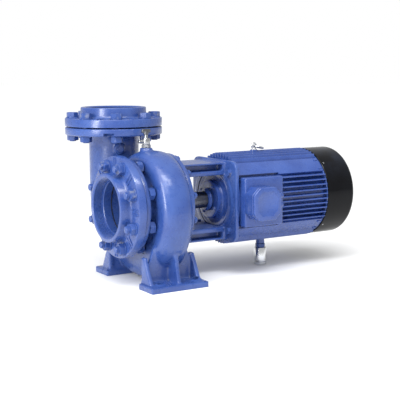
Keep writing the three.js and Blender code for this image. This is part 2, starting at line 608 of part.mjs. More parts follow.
// ---- Terminal box ----
function octagon(x0, x1, half, chamfer) {
  return shapeOf([
    [x0 + chamfer, -half], [x1 - chamfer, -half], [x1, chamfer - half], [x1, half - chamfer],
    [x1 - chamfer, half], [x0 + chamfer, half], [x0, half - chamfer], [x0, chamfer - half],
  ]);
}
function terminalBox() {
  const { startX, endX, halfHeight, rootY, coverY, chamfer, wall } = box;
  const outer = extrudedY(octagon(startX, endX, halfHeight, chamfer), coverY, rootY - clearance);
  const inner = extrudedY(octagon(startX + wall, endX - wall, halfHeight - wall, chamfer - 2),
    coverY - 2, rootY - wall);
  const cableWay = block([startX + 30, endX - 30], [rootY - wall - 4, rootY + 4], [-16, 16]);
  const entries = box.glandHeights.map((z) => (
    xHole(box.glandY, z, box.glandBore, endX - wall - 3, endX + 3, 12)));
  return cut(outer, inner, cableWay, ...entries);
}
place("terminal_box", geometryOf(terminalBox()), bluePaint);
place("terminal_cover", geometryOf(extrudedY(octagon(box.startX, box.endX, box.halfHeight, box.chamfer),
  box.frontY, box.coverY - clearance)), bluePaint);
box.glandHeights.forEach((z, i) => {
  const stem = rodX(box.endX - box.wall - 2, box.endX + 2, box.glandBore - clearance, 12);
  const nutBody = solid(new THREE.CylinderGeometry(12, 12, 9, 6).rotateZ(-Math.PI / 2)
    .translate(box.endX + clearance + 4.5, 0, 0));
  const dome = turnedX([[box.endX + 9, 0], [box.endX + 9, 11], [box.endX + 22, 10], [box.endX + 28, 6],
    [box.endX + 28, 0]], 14);
  place(`cable_gland_${i + 1}`, geometryOf(join(stem, nutBody, dome)), bluePaint, [0, box.glandY, z]);
});

// ---- Lifting eye with a loose ring ----
const eyeRing = { centreZ: 149.5, radius: 7.6, wire: 2.6, looseRadius: 15.5 };
const torusAcrossY = (radius, wire, round, section) => solid(
  new THREE.TorusGeometry(radius, wire, section, round).rotateX(Math.PI / 2));
place("lifting_eye", geometryOf(join(
  torusAcrossY(eyeRing.radius, eyeRing.wire, 16, 6).translate([eyeX, 0, eyeRing.centreZ]),
  rodZ(130, eyeRing.centreZ - eyeRing.radius, 5, 12).translate([eyeX, 0, 0]),
  rodZ(137 + clearance, 139.6, 9, 12).translate([eyeX, 0, 0]))), zincSteel);
place("lifting_ring", geometryOf(solid(new THREE.TorusGeometry(eyeRing.looseRadius, eyeRing.wire, 6, 20))
  .translate([eyeRing.looseRadius, 0, 0])), zincSteel, [eyeX, 0, eyeRing.centreZ], [0, radians(16), 0]);

// ---- Air cock, plugs ----
place("air_cock_body", geometryOf(join(
  rodZ(148, cock.bossTop + 3, 5.6, 8), rodZ(cock.bossTop + clearance, cock.bossTop + 9, 13, 6),
  rodZ(cock.bossTop + 8, 188, 11, 14), rodZ(187, cock.leverZ - clearance, 5, 12),
  rodX(-24, 0, 5, 10).translate([0, 0, 178]))), chromePlate, [cock.x, cock.y, 0]);
const leverBar = block([-14, 14], [-3.5, 3.5], [cock.leverZ + 6, cock.leverZ + 17]);
place("air_cock_lever", geometryOf(join(rodZ(cock.leverZ, cock.leverZ + 14, 7, 12), leverBar)),
  chromePlate, [cock.x, cock.y, 0]);
const plug = (length) => join(rodZ(-8, 2, 8, 8), rodZ(clearance, length, 10, 6));
const gaugeTurn = radians(gaugePort.angle);
place("gauge_plug", geometryOf(plug(6)), bluePaint, [
  dischargeX + gaugePort.faceRadius * Math.cos(gaugeTurn),
  dischargeY + gaugePort.faceRadius * Math.sin(gaugeTurn), gaugePort.z,
], [Math.PI / 2, 0, gaugeTurn + Math.PI / 2, "ZYX"]);
place("drain_plug", geometryOf(plug(8)), bluePaint, [drain.faceX, 0, drain.z], [0, Math.PI / 2, 0]);

// ---- Support jack under the motor ----
const jack = {
  collarTop: -149, collarLow: -161, collarRadius: 14.5, footRadius: 19, stemRadius: 8, stemTop: -124,
};
const lockNut = cut(rodZ(jack.collarLow, jack.collarTop - clearance, jack.collarRadius, 24),
  rodZ(jack.collarLow - 9, jack.collarTop + 9, jack.stemRadius + clearance, 12));
place("jack_collar", geometryOf(lockNut), zincSteel, [jackX, 0, 0]);
const footTop = jack.collarLow - clearance;
const screwFoot = turnedZ([
  [-shaftHeight, 0], [-shaftHeight, jack.footRadius], [footTop - 1.2, jack.footRadius],
  [footTop, jack.footRadius - 1.2], [footTop, jack.stemRadius],
  [jack.stemTop, jack.stemRadius], [jack.stemTop, 0],
], 20);
place("jack_foot", geometryOf(screwFoot), chromePlate, [jackX, 0, 0]);

// ---- Stand the pump on Z = 0 with its box centred on the origin ----
pump.updateMatrixWorld(true);
const bounds = new THREE.Box3().setFromObject(pump);
const middle = bounds.getCenter(new THREE.Vector3());
pump.position.set(-middle.x, -middle.y, -bounds.min.z);

export default pump;
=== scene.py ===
import math

import bmesh
import bpy
from mathutils import Matrix, Vector


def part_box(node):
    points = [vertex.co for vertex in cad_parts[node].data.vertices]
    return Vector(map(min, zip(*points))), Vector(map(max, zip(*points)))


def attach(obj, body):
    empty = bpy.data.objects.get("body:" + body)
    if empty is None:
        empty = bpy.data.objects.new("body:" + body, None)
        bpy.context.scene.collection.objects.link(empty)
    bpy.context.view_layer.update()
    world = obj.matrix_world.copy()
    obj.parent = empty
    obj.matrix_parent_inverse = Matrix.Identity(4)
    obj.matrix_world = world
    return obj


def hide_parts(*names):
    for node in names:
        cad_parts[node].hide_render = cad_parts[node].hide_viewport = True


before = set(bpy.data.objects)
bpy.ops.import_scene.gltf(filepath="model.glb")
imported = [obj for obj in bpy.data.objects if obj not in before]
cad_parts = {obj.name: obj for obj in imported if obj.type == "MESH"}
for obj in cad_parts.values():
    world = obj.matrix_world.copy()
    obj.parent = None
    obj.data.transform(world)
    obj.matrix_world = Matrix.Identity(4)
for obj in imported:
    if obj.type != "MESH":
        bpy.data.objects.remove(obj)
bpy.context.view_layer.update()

# Shapes are drawn in millimetres about the shaft axis, and set into the frame when a piece is finished.
shaftNose = 8
shaftLow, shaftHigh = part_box("shaft")
axisPoint = Vector((
    shaftLow.x - shaftNose / 1000, (shaftLow.y + shaftHigh.y) / 2, (shaftLow.z + shaftHigh.z) / 2))
toFrame = Matrix.Translation(axisPoint) @ Matrix.Scale(0.001, 4)
tau = 2 * math.pi
creaseAngle = math.radians(32)


# Shape helpers

def lathe(profile, steps=96, ring=False):
    # profile points are (distance along +X, radius)
    bm = bmesh.new()
    verts = [bm.verts.new((along, 0, radius)) for along, radius in profile]
    pairs = list(zip(verts, verts[1:]))
    if ring:
        pairs.append((verts[-1], verts[0]))
    edges = [bm.edges.new(pair) for pair in pairs]
    bmesh.ops.spin(bm, geom=verts + edges, cent=(0, 0, 0), axis=(1, 0, 0), dvec=(0, 0, 0),
                   angle=tau, steps=steps, use_merge=True, use_duplicate=False)
    bmesh.ops.remove_doubles(bm, verts=bm.verts, dist=1e-4)
    bmesh.ops.recalc_face_normals(bm, faces=bm.faces)
    return bm


def rod(start, end, radius, steps=48, chamfer=0.0):
    if chamfer:
        return lathe([(start, 0), (start, radius - chamfer), (start + chamfer, radius),
                      (end - chamfer, radius), (end, radius - chamfer), (end, 0)], steps)
    return lathe([(start, 0), (start, radius), (end, radius), (end, 0)], steps)


def pipe(start, end, inner, outer, steps=64):
    return lathe([(start, inner), (start, outer), (end, outer), (end, inner)], steps, ring=True)


def slab(outline, axis, start, end):
    # an outline pushed along an axis: (y, z) for x, (x, z) for y, (x, y) for z
    lift = {"x": lambda a, b: (start, a, b), "y": lambda a, b: (a, start, b),
            "z": lambda a, b: (a, b, start)}[axis]
    push = {"x": (1, 0, 0), "y": (0, 1, 0), "z": (0, 0, 1)}[axis]
    bm = bmesh.new()
    face = bm.faces.new([bm.verts.new(lift(a, b)) for a, b in outline])
    grown = bmesh.ops.extrude_face_region(bm, geom=[face])["geom"]
    top = [item for item in grown if isinstance(item, bmesh.types.BMVert)]
    bmesh.ops.translate(bm, vec=Vector(push) * (end - start), verts=top)
    bmesh.ops.recalc_face_normals(bm, faces=bm.faces)
    return bm


def bar(low, high):
    bm = bmesh.new()
    size = [b - a for a, b in zip(low, high)]
    middle = [(a + b) / 2 for a, b in zip(low, high)]
    place = Matrix.Translation(middle) @ Matrix.Diagonal((*size, 1))
    bmesh.ops.create_cube(bm, size=1, matrix=place)
    return bm


def skin(loops):
    # rings of points, bridged one to the next and closed at both ends
    bm = bmesh.new()
    rings = []
    for points in loops:
        verts = [bm.verts.new(point) for point in points]
        rings.append([bm.edges.new((a, b)) for a, b in zip(verts, verts[1:] + verts[:1])])
        if len(rings) in (1, len(loops)):
            bm.faces.new(verts)
    for first, second in zip(rings, rings[1:]):
        bmesh.ops.bridge_loops(bm, edges=first + second)
    bmesh.ops.recalc_face_normals(bm, faces=bm.faces)
    return bm


def moved(bm, at=(0, 0, 0), turn=None):
    matrix = Matrix.Translation(at)
    if turn is not None:
        matrix = matrix @ turn
    bmesh.ops.transform(bm, matrix=matrix, verts=bm.verts)
    return bm


def facing(direction):
    # turns a shape drawn along +X to point along direction
    return Vector((1, 0, 0)).rotation_difference(Vector(direction)).to_matrix().to_4x4()


def softened(bm, width, segments=2):
    sharp = [e for e in bm.edges if len(e.link_faces) == 2 and e.calc_face_angle(0) > creaseAngle]
    bmesh.ops.bevel(bm, geom=sharp, offset=width, offset_type="OFFSET", segments=segments,
                    profile=0.5, affect="EDGES", clamp_overlap=True, material=-1)
    return bm


def gathered(shapes):
    bm = bmesh.new()
    for shape in shapes:
        mesh = bpy.data.meshes.new("part")
        shape.to_mesh(mesh)
        shape.free()
        bm.from_mesh(mesh)
        bpy.data.meshes.remove(mesh)
    return bm


def held(bm):
    mesh = bpy.data.meshes.new("work")
    bm.to_mesh(mesh)
    bm.free()
    work = bpy.data.objects.new("work", mesh)
    bpy.context.scene.collection.objects.link(work)
    return work


def settled(work, tools=()):
    bpy.context.view_layer.update()
    mesh = bpy.data.meshes.new_from_object(work.evaluated_get(bpy.context.evaluated_depsgraph_get()))
    bm = bmesh.new()
    bm.from_mesh(mesh)
    bpy.data.meshes.remove(mesh)
    for item in [work, *tools]:
        old = item.data
        bpy.data.objects.remove(item)
        bpy.data.meshes.remove(old)
    return bm


def combined(bm, shapes, operation="DIFFERENCE"):
    work = held(bm)
    tools = [held(shape) for shape in shapes]
    for tool in tools:
        step = work.modifiers.new("step", "BOOLEAN")
        step.operation = operation
        step.solver = "MANIFOLD"
        step.object = tool
    return settled(work, tools)


def cast(shapes, grain, smoothing=6):
    # overlapping shapes run together into one casting with soft corners
    work = held(gathered(shapes))
    remesh = work.modifiers.new("remesh", "REMESH")
    remesh.mode = "VOXEL"
    remesh.voxel_size = grain
    smooth = work.modifiers.new("smooth", "SMOOTH")
    smooth.factor = 0.5
    smooth.iterations = smoothing
    return settled(work)


def piece(name, bm, finish, body="pump", nodes=()):
    bmesh.ops.transform(bm, matrix=toFrame, verts=bm.verts)
    bmesh.ops.triangulate(bm, faces=[f for f in bm.faces if len(f.verts) > 4])
    for face in bm.faces:
        face.smooth = True
    for edge in bm.edges:
        edge.smooth = len(edge.link_faces) == 2 and edge.calc_face_angle(0) < creaseAngle
    mesh = bpy.data.meshes.new(name)
    bm.to_mesh(mesh)
    bm.free()
    made = bpy.data.objects.new(name, mesh)
    bpy.context.scene.collection.objects.link(made)
    made.data.materials.append(finish)
    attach(made, body)
    if nodes:
        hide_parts(*nodes)
    return made


def around(count, radius, phase=0.5):
    # (y, z) of evenly spaced points on a circle about the shaft
    spots = []
    for i in range(count):
        angle = (i + phase) * tau / count
        spots.append((radius * math.cos(angle), radius * math.sin(angle)))
    return spots


# Node helpers for the finishes

def newGroup(name, inputs, outputs):
    tree = bpy.data.node_groups.new(name, "ShaderNodeTree")
    for label, value in inputs:
        socket = tree.interface.new_socket(label, in_out="INPUT", socket_type="NodeSocketFloat")
        socket.default_value = value
    for label in outputs:
        tree.interface.new_socket(label, in_out="OUTPUT", socket_type="NodeSocketFloat")
    return tree, tree.nodes.new("NodeGroupInput"), tree.nodes.new("NodeGroupOutput")


def maths(tree, operation, first, second=None, third=None, clamp=False):
    node = tree.nodes.new("ShaderNodeMath")
    node.operation = operation
    node.use_clamp = clamp
    for slotIndex, value in enumerate((first, second, third)):
        if value is None:
            continue
        if isinstance(value, (int, float)):
            node.inputs[slotIndex].default_value = value
        else:
            tree.links.new(value, node.inputs[slotIndex])
    return node.outputs[0]


def objectNoise(tree, scale, detail=4.0, stretch=(1, 1, 1)):
    place = tree.nodes.new("ShaderNodeTexCoord")
    mapping = tree.nodes.new("ShaderNodeMapping")
    mapping.inputs["Scale"].default_value = stretch
    tree.links.new(place.outputs["Object"], mapping.inputs["Vector"])
    node = tree.nodes.new("ShaderNodeTexNoise")
    node.inputs["Detail"].default_value = detail
    node.inputs["Roughness"].default_value = 0.55
    if isinstance(scale, (int, float)):
        node.inputs["Scale"].default_value = scale
    else:
        tree.links.new(scale, node.inputs["Scale"])
    tree.links.new(mapping.outputs["Vector"], node.inputs["Vector"])
    return node.outputs["Fac"]


def ranged(tree, value, low, high, toLow=0.0, toHigh=1.0):
    node = tree.nodes.new("ShaderNodeMapRange")
    node.interpolation_type = "SMOOTHSTEP"
    for label, amount in (("From Min", low), ("From Max", high), ("To Min", toLow), ("To Max", toHigh)):
        if isinstance(amount, (int, float)):
            node.inputs[label].default_value = amount
        else:
            tree.links.new(amount, node.inputs[label])
    tree.links.new(value, node.inputs["Value"])
    return node.outputs["Result"]


# worn edges: 1 on outward corners, broken up by noise, and a mask of the inward corners where painted shade
# goes
wornEdgesAndHollowShade, entry, leave = newGroup("wornEdgesAndHollowShade", [("Reach", 0.06), ("Breakup", 160.0)], ["Edge", "HollowShade"])
geometry = wornEdgesAndHollowShade.nodes.new("ShaderNodeNewGeometry")
pointed = geometry.outputs["Pointiness"]
edgeTop = maths(wornEdgesAndHollowShade, "ADD", entry.outputs["Reach"], 0.5)
edgeMask = ranged(wornEdgesAndHollowShade, pointed, 0.51, edgeTop)
edgeNoise = ranged(wornEdgesAndHollowShade, objectNoise(wornEdgesAndHollowShade, entry.outputs["Breakup"]), 0.38, 0.62)
wornEdgesAndHollowShade.links.new(maths(wornEdgesAndHollowShade, "MULTIPLY", edgeMask, edgeNoise), leave.inputs["Edge"])
# painted shade mask: rises in the inward corners, where pointiness drops below one half
hollowShadeLow = maths(wornEdgesAndHollowShade, "SUBTRACT", 0.5, entry.outputs["Reach"])
wornEdgesAndHollowShade.links.new(ranged(wornEdgesAndHollowShade, pointed, 0.49, hollowShadeLow), leave.inputs["HollowShade"])

# sand grain of a casting under its coat: broad waviness and fine pits as one height
castGrain, entry, leave = newGroup("castGrain", [("Waves", 30.0), ("Grain", 420.0), ("Share", 0.5)],
                                   ["Height"])
waves = objectNoise(castGrain, entry.outputs["Waves"], detail=2)
fine = objectNoise(castGrain, entry.outputs["Grain"], detail=5)
finePart = maths(castGrain, "MULTIPLY", fine, entry.outputs["Share"])
castGrain.links.new(maths(castGrain, "ADD", waves, finePart), leave.inputs["Height"])

# dust: settles on faces that look up, in uneven patches
settledDust, entry, leave = newGroup("settledDust", [("Amount", 0.3), ("Patch", 18.0)], ["Mask"])
geometry = settledDust.nodes.new("ShaderNodeNewGeometry")
split = settledDust.nodes.new("ShaderNodeSeparateXYZ")
settledDust.links.new(geometry.outputs["Normal"], split.inputs["Vector"])
upward = ranged(settledDust, split.outputs["Z"], 0.25, 1.0)
patches = ranged(settledDust, objectNoise(settledDust, entry.outputs["Patch"], detail=6), 0.35, 0.7)
both = maths(settledDust, "MULTIPLY", upward, patches)
settledDust.links.new(maths(settledDust, "MULTIPLY", both, entry.outputs["Amount"]), leave.inputs["Mask"])


def useGroup(tree, group, **values):
    node = tree.nodes.new("ShaderNodeGroup")
    node.node_tree = group
    for label, value in values.items():
        node.inputs[label].default_value = value
    return node


def mixColour(tree, share, first, second):
    node = tree.nodes.new("ShaderNodeMix")
    node.data_type = "RGBA"
    for socket, value in ((node.inputs[0], share), (node.inputs[6], first), (node.inputs[7], second)):
        if isinstance(value, (tuple, list)):
            socket.default_value = (*value, 1)
        elif isinstance(value, (int, float)):
            socket.default_value = value
        else:
            tree.links.new(value, socket)
    return node.outputs[2]


def newMaterial(name, colour, **fixed):
    material = bpy.data.materials.new(name)
    material.use_nodes = True
    tree = material.node_tree
    shader = tree.nodes["Principled BSDF"]
    shader.inputs["Base Color"].default_value = (*colour, 1)
    for label, value in fixed.items():
        shader.inputs[label.replace("_", " ")].default_value = value
    material.diffuse_color = (*colour, 1)
    return material, tree, shader


def bumped(tree, shader, height, strength, distance):
    bump = tree.nodes.new("ShaderNodeBump")
    bump.inputs["Strength"].default_value = strength
    bump.inputs["Distance"].default_value = distance
    tree.links.new(height, bump.inputs["Height"])
    tree.links.new(bump.outputs["Normal"], shader.inputs["Normal"])


def paint(name, deep, light, rough, wear, strength, waves=30.0, grain=420.0, gloss=0.5):
    # enamel over iron or steel: two tones and a little dust; on castings also paler worn corners and painted
    # shade darkening the hollows
    material, tree, shader = newMaterial(name, deep, Coat_Weight=gloss * 0.7, Coat_Roughness=0.14,
                                         Specular_IOR_Level=gloss)
    tone = ranged(tree, objectNoise(tree, 14.0, detail=5), 0.3, 0.7)
    base = mixColour(tree, tone, deep, light)
    if wear:
        edges = useGroup(tree, wornEdgesAndHollowShade, Reach=0.09, Breakup=110.0)
        # painted shade: the inward corners are darkened towards about a fifth of the deep paint colour
        hollowShade = maths(tree, "MULTIPLY", edges.outputs["HollowShade"], 0.7)
        base = mixColour(tree, hollowShade, base, tuple(c * 0.22 for c in deep))
        worn = maths(tree, "MULTIPLY", edges.outputs["Edge"], wear)
        base = mixColour(tree, worn, base, (0.1, 0.2, 0.52))
    dust = useGroup(tree, settledDust, Amount=0.04, Patch=16.0)
    base = mixColour(tree, dust.outputs["Mask"], base, (0.2, 0.28, 0.5))
    tree.links.new(base, shader.inputs["Base Color"])
    roughness = ranged(tree, objectNoise(tree, 55.0, detail=4), 0.3, 0.7, rough - 0.07, rough + 0.1)
    tree.links.new(maths(tree, "ADD", roughness, dust.outputs["Mask"], clamp=True),
                   shader.inputs["Roughness"])
    height = useGroup(tree, castGrain, Waves=waves, Grain=grain, Share=0.4)
    bumped(tree, shader, height.outputs["Height"], strength, 0.0012)
    return material


def metal(name, dark, light, rough, scratch=(1, 1, 1), strength=0.12, grime=0.5):
    # bare or plated metal: tool marks along one way, and patchy stains
    material, tree, shader = newMaterial(name, dark, Metallic=1.0)
    marks = objectNoise(tree, 320.0, detail=6, stretch=scratch)
    base = mixColour(tree, ranged(tree, marks, 0.3, 0.7), dark, light)
    stains = ranged(tree, objectNoise(tree, 24.0, detail=6), 0.55, 0.75)
    base = mixColour(tree, maths(tree, "MULTIPLY", stains, grime), base, tuple(c * 0.3 for c in dark))
    tree.links.new(base, shader.inputs["Base Color"])
    tree.links.new(ranged(tree, marks, 0.25, 0.75, rough - 0.06, rough + 0.12), shader.inputs["Roughness"])
    bumped(tree, shader, marks, strength, 0.0004)
    return material


def moulded(name, colour, rough, grain=700.0, strength=0.2):
    # rubber, carbon and plastic: one dark colour, slightly mottled, with a fine grain
    material, tree, shader = newMaterial(name, colour)
    tone = ranged(tree, objectNoise(tree, 40.0, detail=4), 0.3, 0.7)
    paler = tuple(c * 1.7 + 0.004 for c in colour)
    tree.links.new(mixColour(tree, tone, colour, paler), shader.inputs["Base Color"])
    roughness = ranged(tree, objectNoise(tree, 90.0), 0.3, 0.7, rough - 0.08, rough + 0.1)
    tree.links.new(roughness, shader.inputs["Roughness"])
    bumped(tree, shader, objectNoise(tree, grain, detail=3), strength, 0.0004)
    return material


blueCasting = paint("blueCasting", (0.026, 0.064, 0.255), (0.04, 0.09, 0.31), 0.3, 0.08, 0.4)
blueMachined = paint("blueMachined", (0.026, 0.064, 0.255), (0.038, 0.086, 0.3), 0.27, 0, 0.18, waves=18.0)
blueMotor = paint("blueMotor", (0.026, 0.064, 0.265), (0.038, 0.086, 0.32), 0.27, 0, 0.18, waves=22.0)
blackGloss = paint("blackGloss", (0.0016, 0.0018, 0.003), (0.003, 0.0034, 0.005), 0.1, 0, 0.05,
                   waves=12.0, grain=260.0, gloss=0.12)


def platedNut(name):
    # zinc plate with blue overspray caught on it
    material, tree, shader = newMaterial(name, (0.4, 0.43, 0.5))
    marks = objectNoise(tree, 300.0, detail=5)
    plate = mixColour(tree, ranged(tree, marks, 0.3, 0.7), (0.3, 0.32, 0.37), (0.55, 0.57, 0.62))
    spray = ranged(tree, objectNoise(tree, 46.0, detail=5), 0.3, 0.46, 0.55, 1.0)
    base = mixColour(tree, spray, plate, (0.03, 0.075, 0.28))
    tree.links.new(base, shader.inputs["Base Color"])
    tree.links.new(maths(tree, "SUBTRACT", 1.0, spray, clamp=True), shader.inputs["Metallic"])
    tree.links.new(ranged(tree, marks, 0.2, 0.8, 0.24, 0.46), shader.inputs["Roughness"])
    bumped(tree, shader, marks, 0.15, 0.0004)
    return material


zincPlate = platedNut("zincPlate")
chromePlate = metal("chromePlate", (0.6, 0.62, 0.65), (0.78, 0.79, 0.8), 0.14, scratch=(1, 1, 6),
                    strength=0.05, grime=0.3)
turnedSteel = metal("turnedSteel", (0.1, 0.105, 0.12), (0.2, 0.205, 0.22), 0.3, scratch=(6, 1, 1))
groundSteel = metal("groundSteel", (0.34, 0.35, 0.37), (0.5, 0.51, 0.53), 0.22, scratch=(5, 1, 1))
laminations = metal("laminations", (0.12, 0.12, 0.13), (0.26, 0.26, 0.27), 0.45, scratch=(30, 1, 1),
                    strength=0.5)
castBronze = metal("castBronze", (0.3, 0.17, 0.055), (0.46, 0.29, 0.1), 0.38, strength=0.35)
varnishedCopper = metal("varnishedCopper", (0.22, 0.065, 0.02), (0.42, 0.15, 0.045), 0.36, scratch=(1, 8, 8),
                        strength=0.7)
gasketSheet = moulded("gasketSheet", (0.012, 0.014, 0.018), 0.8, grain=1200.0, strength=0.5)
sealCarbon = moulded("sealCarbon", (0.018, 0.018, 0.02), 0.35)
fanNylon = moulded("fanNylon", (0.012, 0.012, 0.014), 0.5)
print("finishes ready")


# Volute casing

volute = dict(middleX=30, halfWidth=48, startAngle=30, endAngle=360, startRadius=144, growth=105, power=1.5,
              innerRadius=94, chamber=112, wall=10, backX=78, neckRadius=73, dischargeX=8, dischargeY=180,
              dischargeFace=212.5, floor=-215, cockX=22, cockY=6, drainZ=-168, drainFace=92, gaugeReach=82)
foot = dict(start=-62, end=114, inner=96, outer=176, thickness=16, sink=4, holeX=(-20, 92), holeY=142,
            holeRadius=9, ribs=(-54, 94), ribWidth=12, ribTop=-128, middle=(24, 36), middleTop=-60)
flangeSize = dict(radius=142.5, thickness=23, hub=96, hubLength=31, thread=84, threadLength=30, bore=75,
                  circle=120, hole=11.5, spotFace=20, tappedBeyond=108, suctionFace=-80, dischargeBack=215.5)
dischargeAt = (volute["dischargeX"], volute["dischargeY"])
gaugeAngle, gaugeHeight = math.radians(256), 152
gaugeTurn = Matrix.Rotation(gaugeAngle, 4, "Z")
turnOver = Matrix.Rotation(math.pi, 4, "Z")
upright = facing((0, 0, 1))


def lerp(a, b, t):
    return a + (b - a) * t


def scrollRing(angle, inset, points):
    v = volute
    t = (angle - v["startAngle"]) / (v["endAngle"] - v["startAngle"])
    outer = v["startRadius"] + v["growth"] * t ** v["power"]
    spread = t ** 10
    inner = lerp(v["innerRadius"], v["dischargeY"] - v["neckRadius"], spread)
    middleX = lerp(v["middleX"], v["dischargeX"], spread)
    halfWidth = lerp(v["halfWidth"], v["neckRadius"], spread) - inset
    halfDepth = (outer - inner) / 2 - inset
    roundness = lerp(0.72, 1, spread)
    radians = math.radians(angle)
    loop = []
    for k in range(points):
        turn = tau * k / points
        c, s = math.cos(turn), math.sin(turn)
        across = math.copysign(abs(c) ** roundness, c) * halfWidth
        radius = (outer + inner) / 2 + math.copysign(abs(s) ** roundness, s) * halfDepth
        loop.append((middleX + across, radius * math.cos(radians), radius * math.sin(radians)))
    return loop


def neckRing(height, radius, points):
    x, y = dischargeAt
    return [(x + radius * math.cos(tau * k / points), y + radius * math.sin(tau * k / points), height)
            for k in range(points)]


def scrollShapes(startAngle, inset, points, steps):
    split, end = 315, volute["endAngle"]
    wrap = [scrollRing(lerp(startAngle, split + 6, i / steps), inset, points) for i in range(steps + 1)]
    turn = [scrollRing(lerp(split, end, i / 8), inset, points) for i in range(9)]
    flare = [(40, 0), (80, 0), (120, 0), (160, 0), (176, 2.5), (186, 8), (192, 13)]
    if inset:
        flare = [(60, 0), (160, 0), (188, 9), (240, 12)]
    neck = [neckRing(height, volute["neckRadius"] - inset + extra, points) for height, extra in flare]
    return [skin(wrap), skin(turn + neck)]


def zRod(x, y, radius, start, end, steps=40, chamfer=0.0):
    return moved(rod(start, end, radius, steps, chamfer), (x, y, 0), facing((0, 0, 1)))


def xRod(y, z, radius, start, end, steps=40, chamfer=0.0):
    return moved(rod(start, end, radius, steps, chamfer), (0, y, z))


def footShapes(side):
    g = foot
    top = volute["floor"] + g["thickness"]
    low = top - g["sink"]
    inner = side * g["inner"]

    def between(a, b):
        return (-b, -a) if side < 0 else (a, b)

    near, far = between(g["inner"], g["outer"])
    plate = bar((g["start"], near, volute["floor"] - g["sink"]), (g["end"], far, top))
    web = slab([(g["start"] + 4, low), (g["end"] - 4, low), (78, -96), (-18, -96)], "y",
               *between(g["inner"] + 2, g["inner"] + 16))
    curve = [(inner, low), (side * 166, low)]
    for i in range(1, 13):  # the curved back of the middle rib
        t = i / 12
        a = (1 - t) ** 2 * 166 + 2 * t * (1 - t) * 140 + t * t * 150
        b = (1 - t) ** 2 * low + 2 * t * (1 - t) * -150 + t * t * g["middleTop"]
        curve.append((side * a, b))
    curve.append((inner, g["middleTop"]))
    middle = slab(curve, "x", *g["middle"])
    rib = [(inner, low), (side * 152, low), (side * 112, g["ribTop"]), (inner, g["ribTop"])]
    ends = [slab(rib, "x", x, x + g["ribWidth"]) for x in g["ribs"]]
    pads = [zRod(x, side * g["holeY"], 17, top - 3, top + 2.5) for x in g["holeX"]]
    return [plate, web, middle, *ends, *pads]


def voluteCasing():
    v, f, g = volute, flangeSize, foot
    body = lathe([(-53, 0), (-53, 134), (-38, 134), (-37.5, 110), (-34, 100), (-27, 95), (-19, 93), (-15, 98),
                  (-15, 120), (0, 130), (60, 124), (62, 146), (78, 146), (78, 0)])
    upper = zRod(*dischargeAt, f["radius"], v["dischargeFace"] - f["thickness"], v["dischargeFace"], 128)
    cockBoss = zRod(v["cockX"], v["cockY"], 17.5, 120, 160)
    gaugeBoss = moved(rod(20, v["gaugeReach"], 17, 6), (*dischargeAt, gaugeHeight), gaugeTurn)
    drainBoss = xRod(0, v["drainZ"], 15, 50, v["drainFace"])
    blended = cast([*scrollShapes(v["startAngle"], 0, 48, 44), body, upper, cockBoss, gaugeBoss, drainBoss,
                    *footShapes(-1), *footShapes(1)], 2.7, 7)
    holes = []
    for y, z in around(8, f["circle"]):
        tapped = y > f["tappedBeyond"]
        holes.append(xRod(y, z, f["hole"], -60, -40 if tapped else -30))
        if not tapped:
            holes.append(xRod(y, z, f["spotFace"], -38.2, -17))
        across, along = dischargeAt[0] + y, dischargeAt[1] + z
        holes.append(zRod(across, along, f["hole"], 180, 230))
        holes.append(zRod(across, along, f["spotFace"], 184, v["dischargeFace"] - f["thickness"] + 0.6))
    holes += [zRod(x, y, g["holeRadius"], -225, -190) for x in g["holeX"] for y in (-g["holeY"], g["holeY"])]
    holes.append(moved(rod(69, 93, 8.4), (*dischargeAt, gaugeHeight), gaugeTurn))
    holes += [xRod(0, v["drainZ"], 8.4, 78, 96), zRod(v["cockX"], v["cockY"], 6.4, 146, 165)]
    floorCut = bar((-200, -300, -260), (300, 400, v["floor"]))
    faceCut = bar((-80, -200, -200), (-54, 105, 200))
    topCut = zRod(*dischargeAt, 170, v["dischargeFace"], 240, 64)
    backCut = pipe(v["backX"], 84, 111, 160)
    wetBody = lathe([(-70, 0), (-70, 75), (-30, 75), (-24, 73), (-12, 66.5), (4, 66.5), (4, v["chamber"]),
                     (90, v["chamber"]), (90, 0)])
    wet = scrollShapes(v["startAngle"] + 15, v["wall"], 24, 24)
    return combined(blended, [floorCut, faceCut, topCut, backCut, *wet, wetBody, *holes])


piece("voluteCasing", voluteCasing(), blueCasting, nodes=["volute_casing"])
print("volute casing done")


# Companion flanges

def companionFlange():
    # drawn along +X from the gasket face
    f = flangeSize
    back = f["thickness"]
    end = back + f["hubLength"]
    threadStart = end - f["threadLength"]
    outside = [(0, f["radius"] - 1), (1, f["radius"]), (back - 2, f["radius"]),
               (back - 0.6, f["radius"] - 0.8),
               (back, f["radius"] - 2.4), (back, f["hub"] + 9), (back + 1.4, f["hub"] + 5),
               (back + 4.5, f["hub"] + 1.8), (back + 9, f["hub"] + 0.4), (end - 3, f["hub"]),
               (end - 0.9, f["hub"] - 0.9), (end, f["hub"] - 3), (end, f["thread"] + 2.6),
               (end - 2.2, f["thread"])]
    pitch, depth = 2.3, 1.3
    turns = int((f["threadLength"] - 3) / pitch)
    thread = []
    for i in range(turns):
        crest = end - 2.4 - i * pitch
        radius = f["thread"] - i * 0.07  # a pipe thread tapers
        thread += [(crest - pitch * 0.15, radius), (crest - pitch * 0.5, radius - depth),
                   (crest - pitch * 0.65, radius - depth)]
    inside = [(threadStart, f["thread"] - 2), (threadStart, f["bore"] + 1), (threadStart - 1, f["bore"]),
              (0, f["bore"])]
    bm = lathe(outside + thread + inside, 128, ring=True)
    ribs = []
    for i in range(8):  # paired cast ridges between the bolts
        turn = Matrix.Rotation(i * tau / 8, 4, "X")
        for offset in (-5.5, 5.5):
            rib = bar((back - 2, 100, offset - 1.6), (back + 2.2, 139, offset + 1.6))
            ribs.append(moved(softened(rib, 1.1), (0, 0, 0), turn))
    holes = [xRod(y, z, f["hole"], -5, back + 8) for y, z in around(8, f["circle"])]
    seats = [xRod(y, z, 20.5, back + 0.01, back + 8) for y, z in around(8, f["circle"])]
    return combined(combined(bm, ribs, "UNION"), holes + seats)


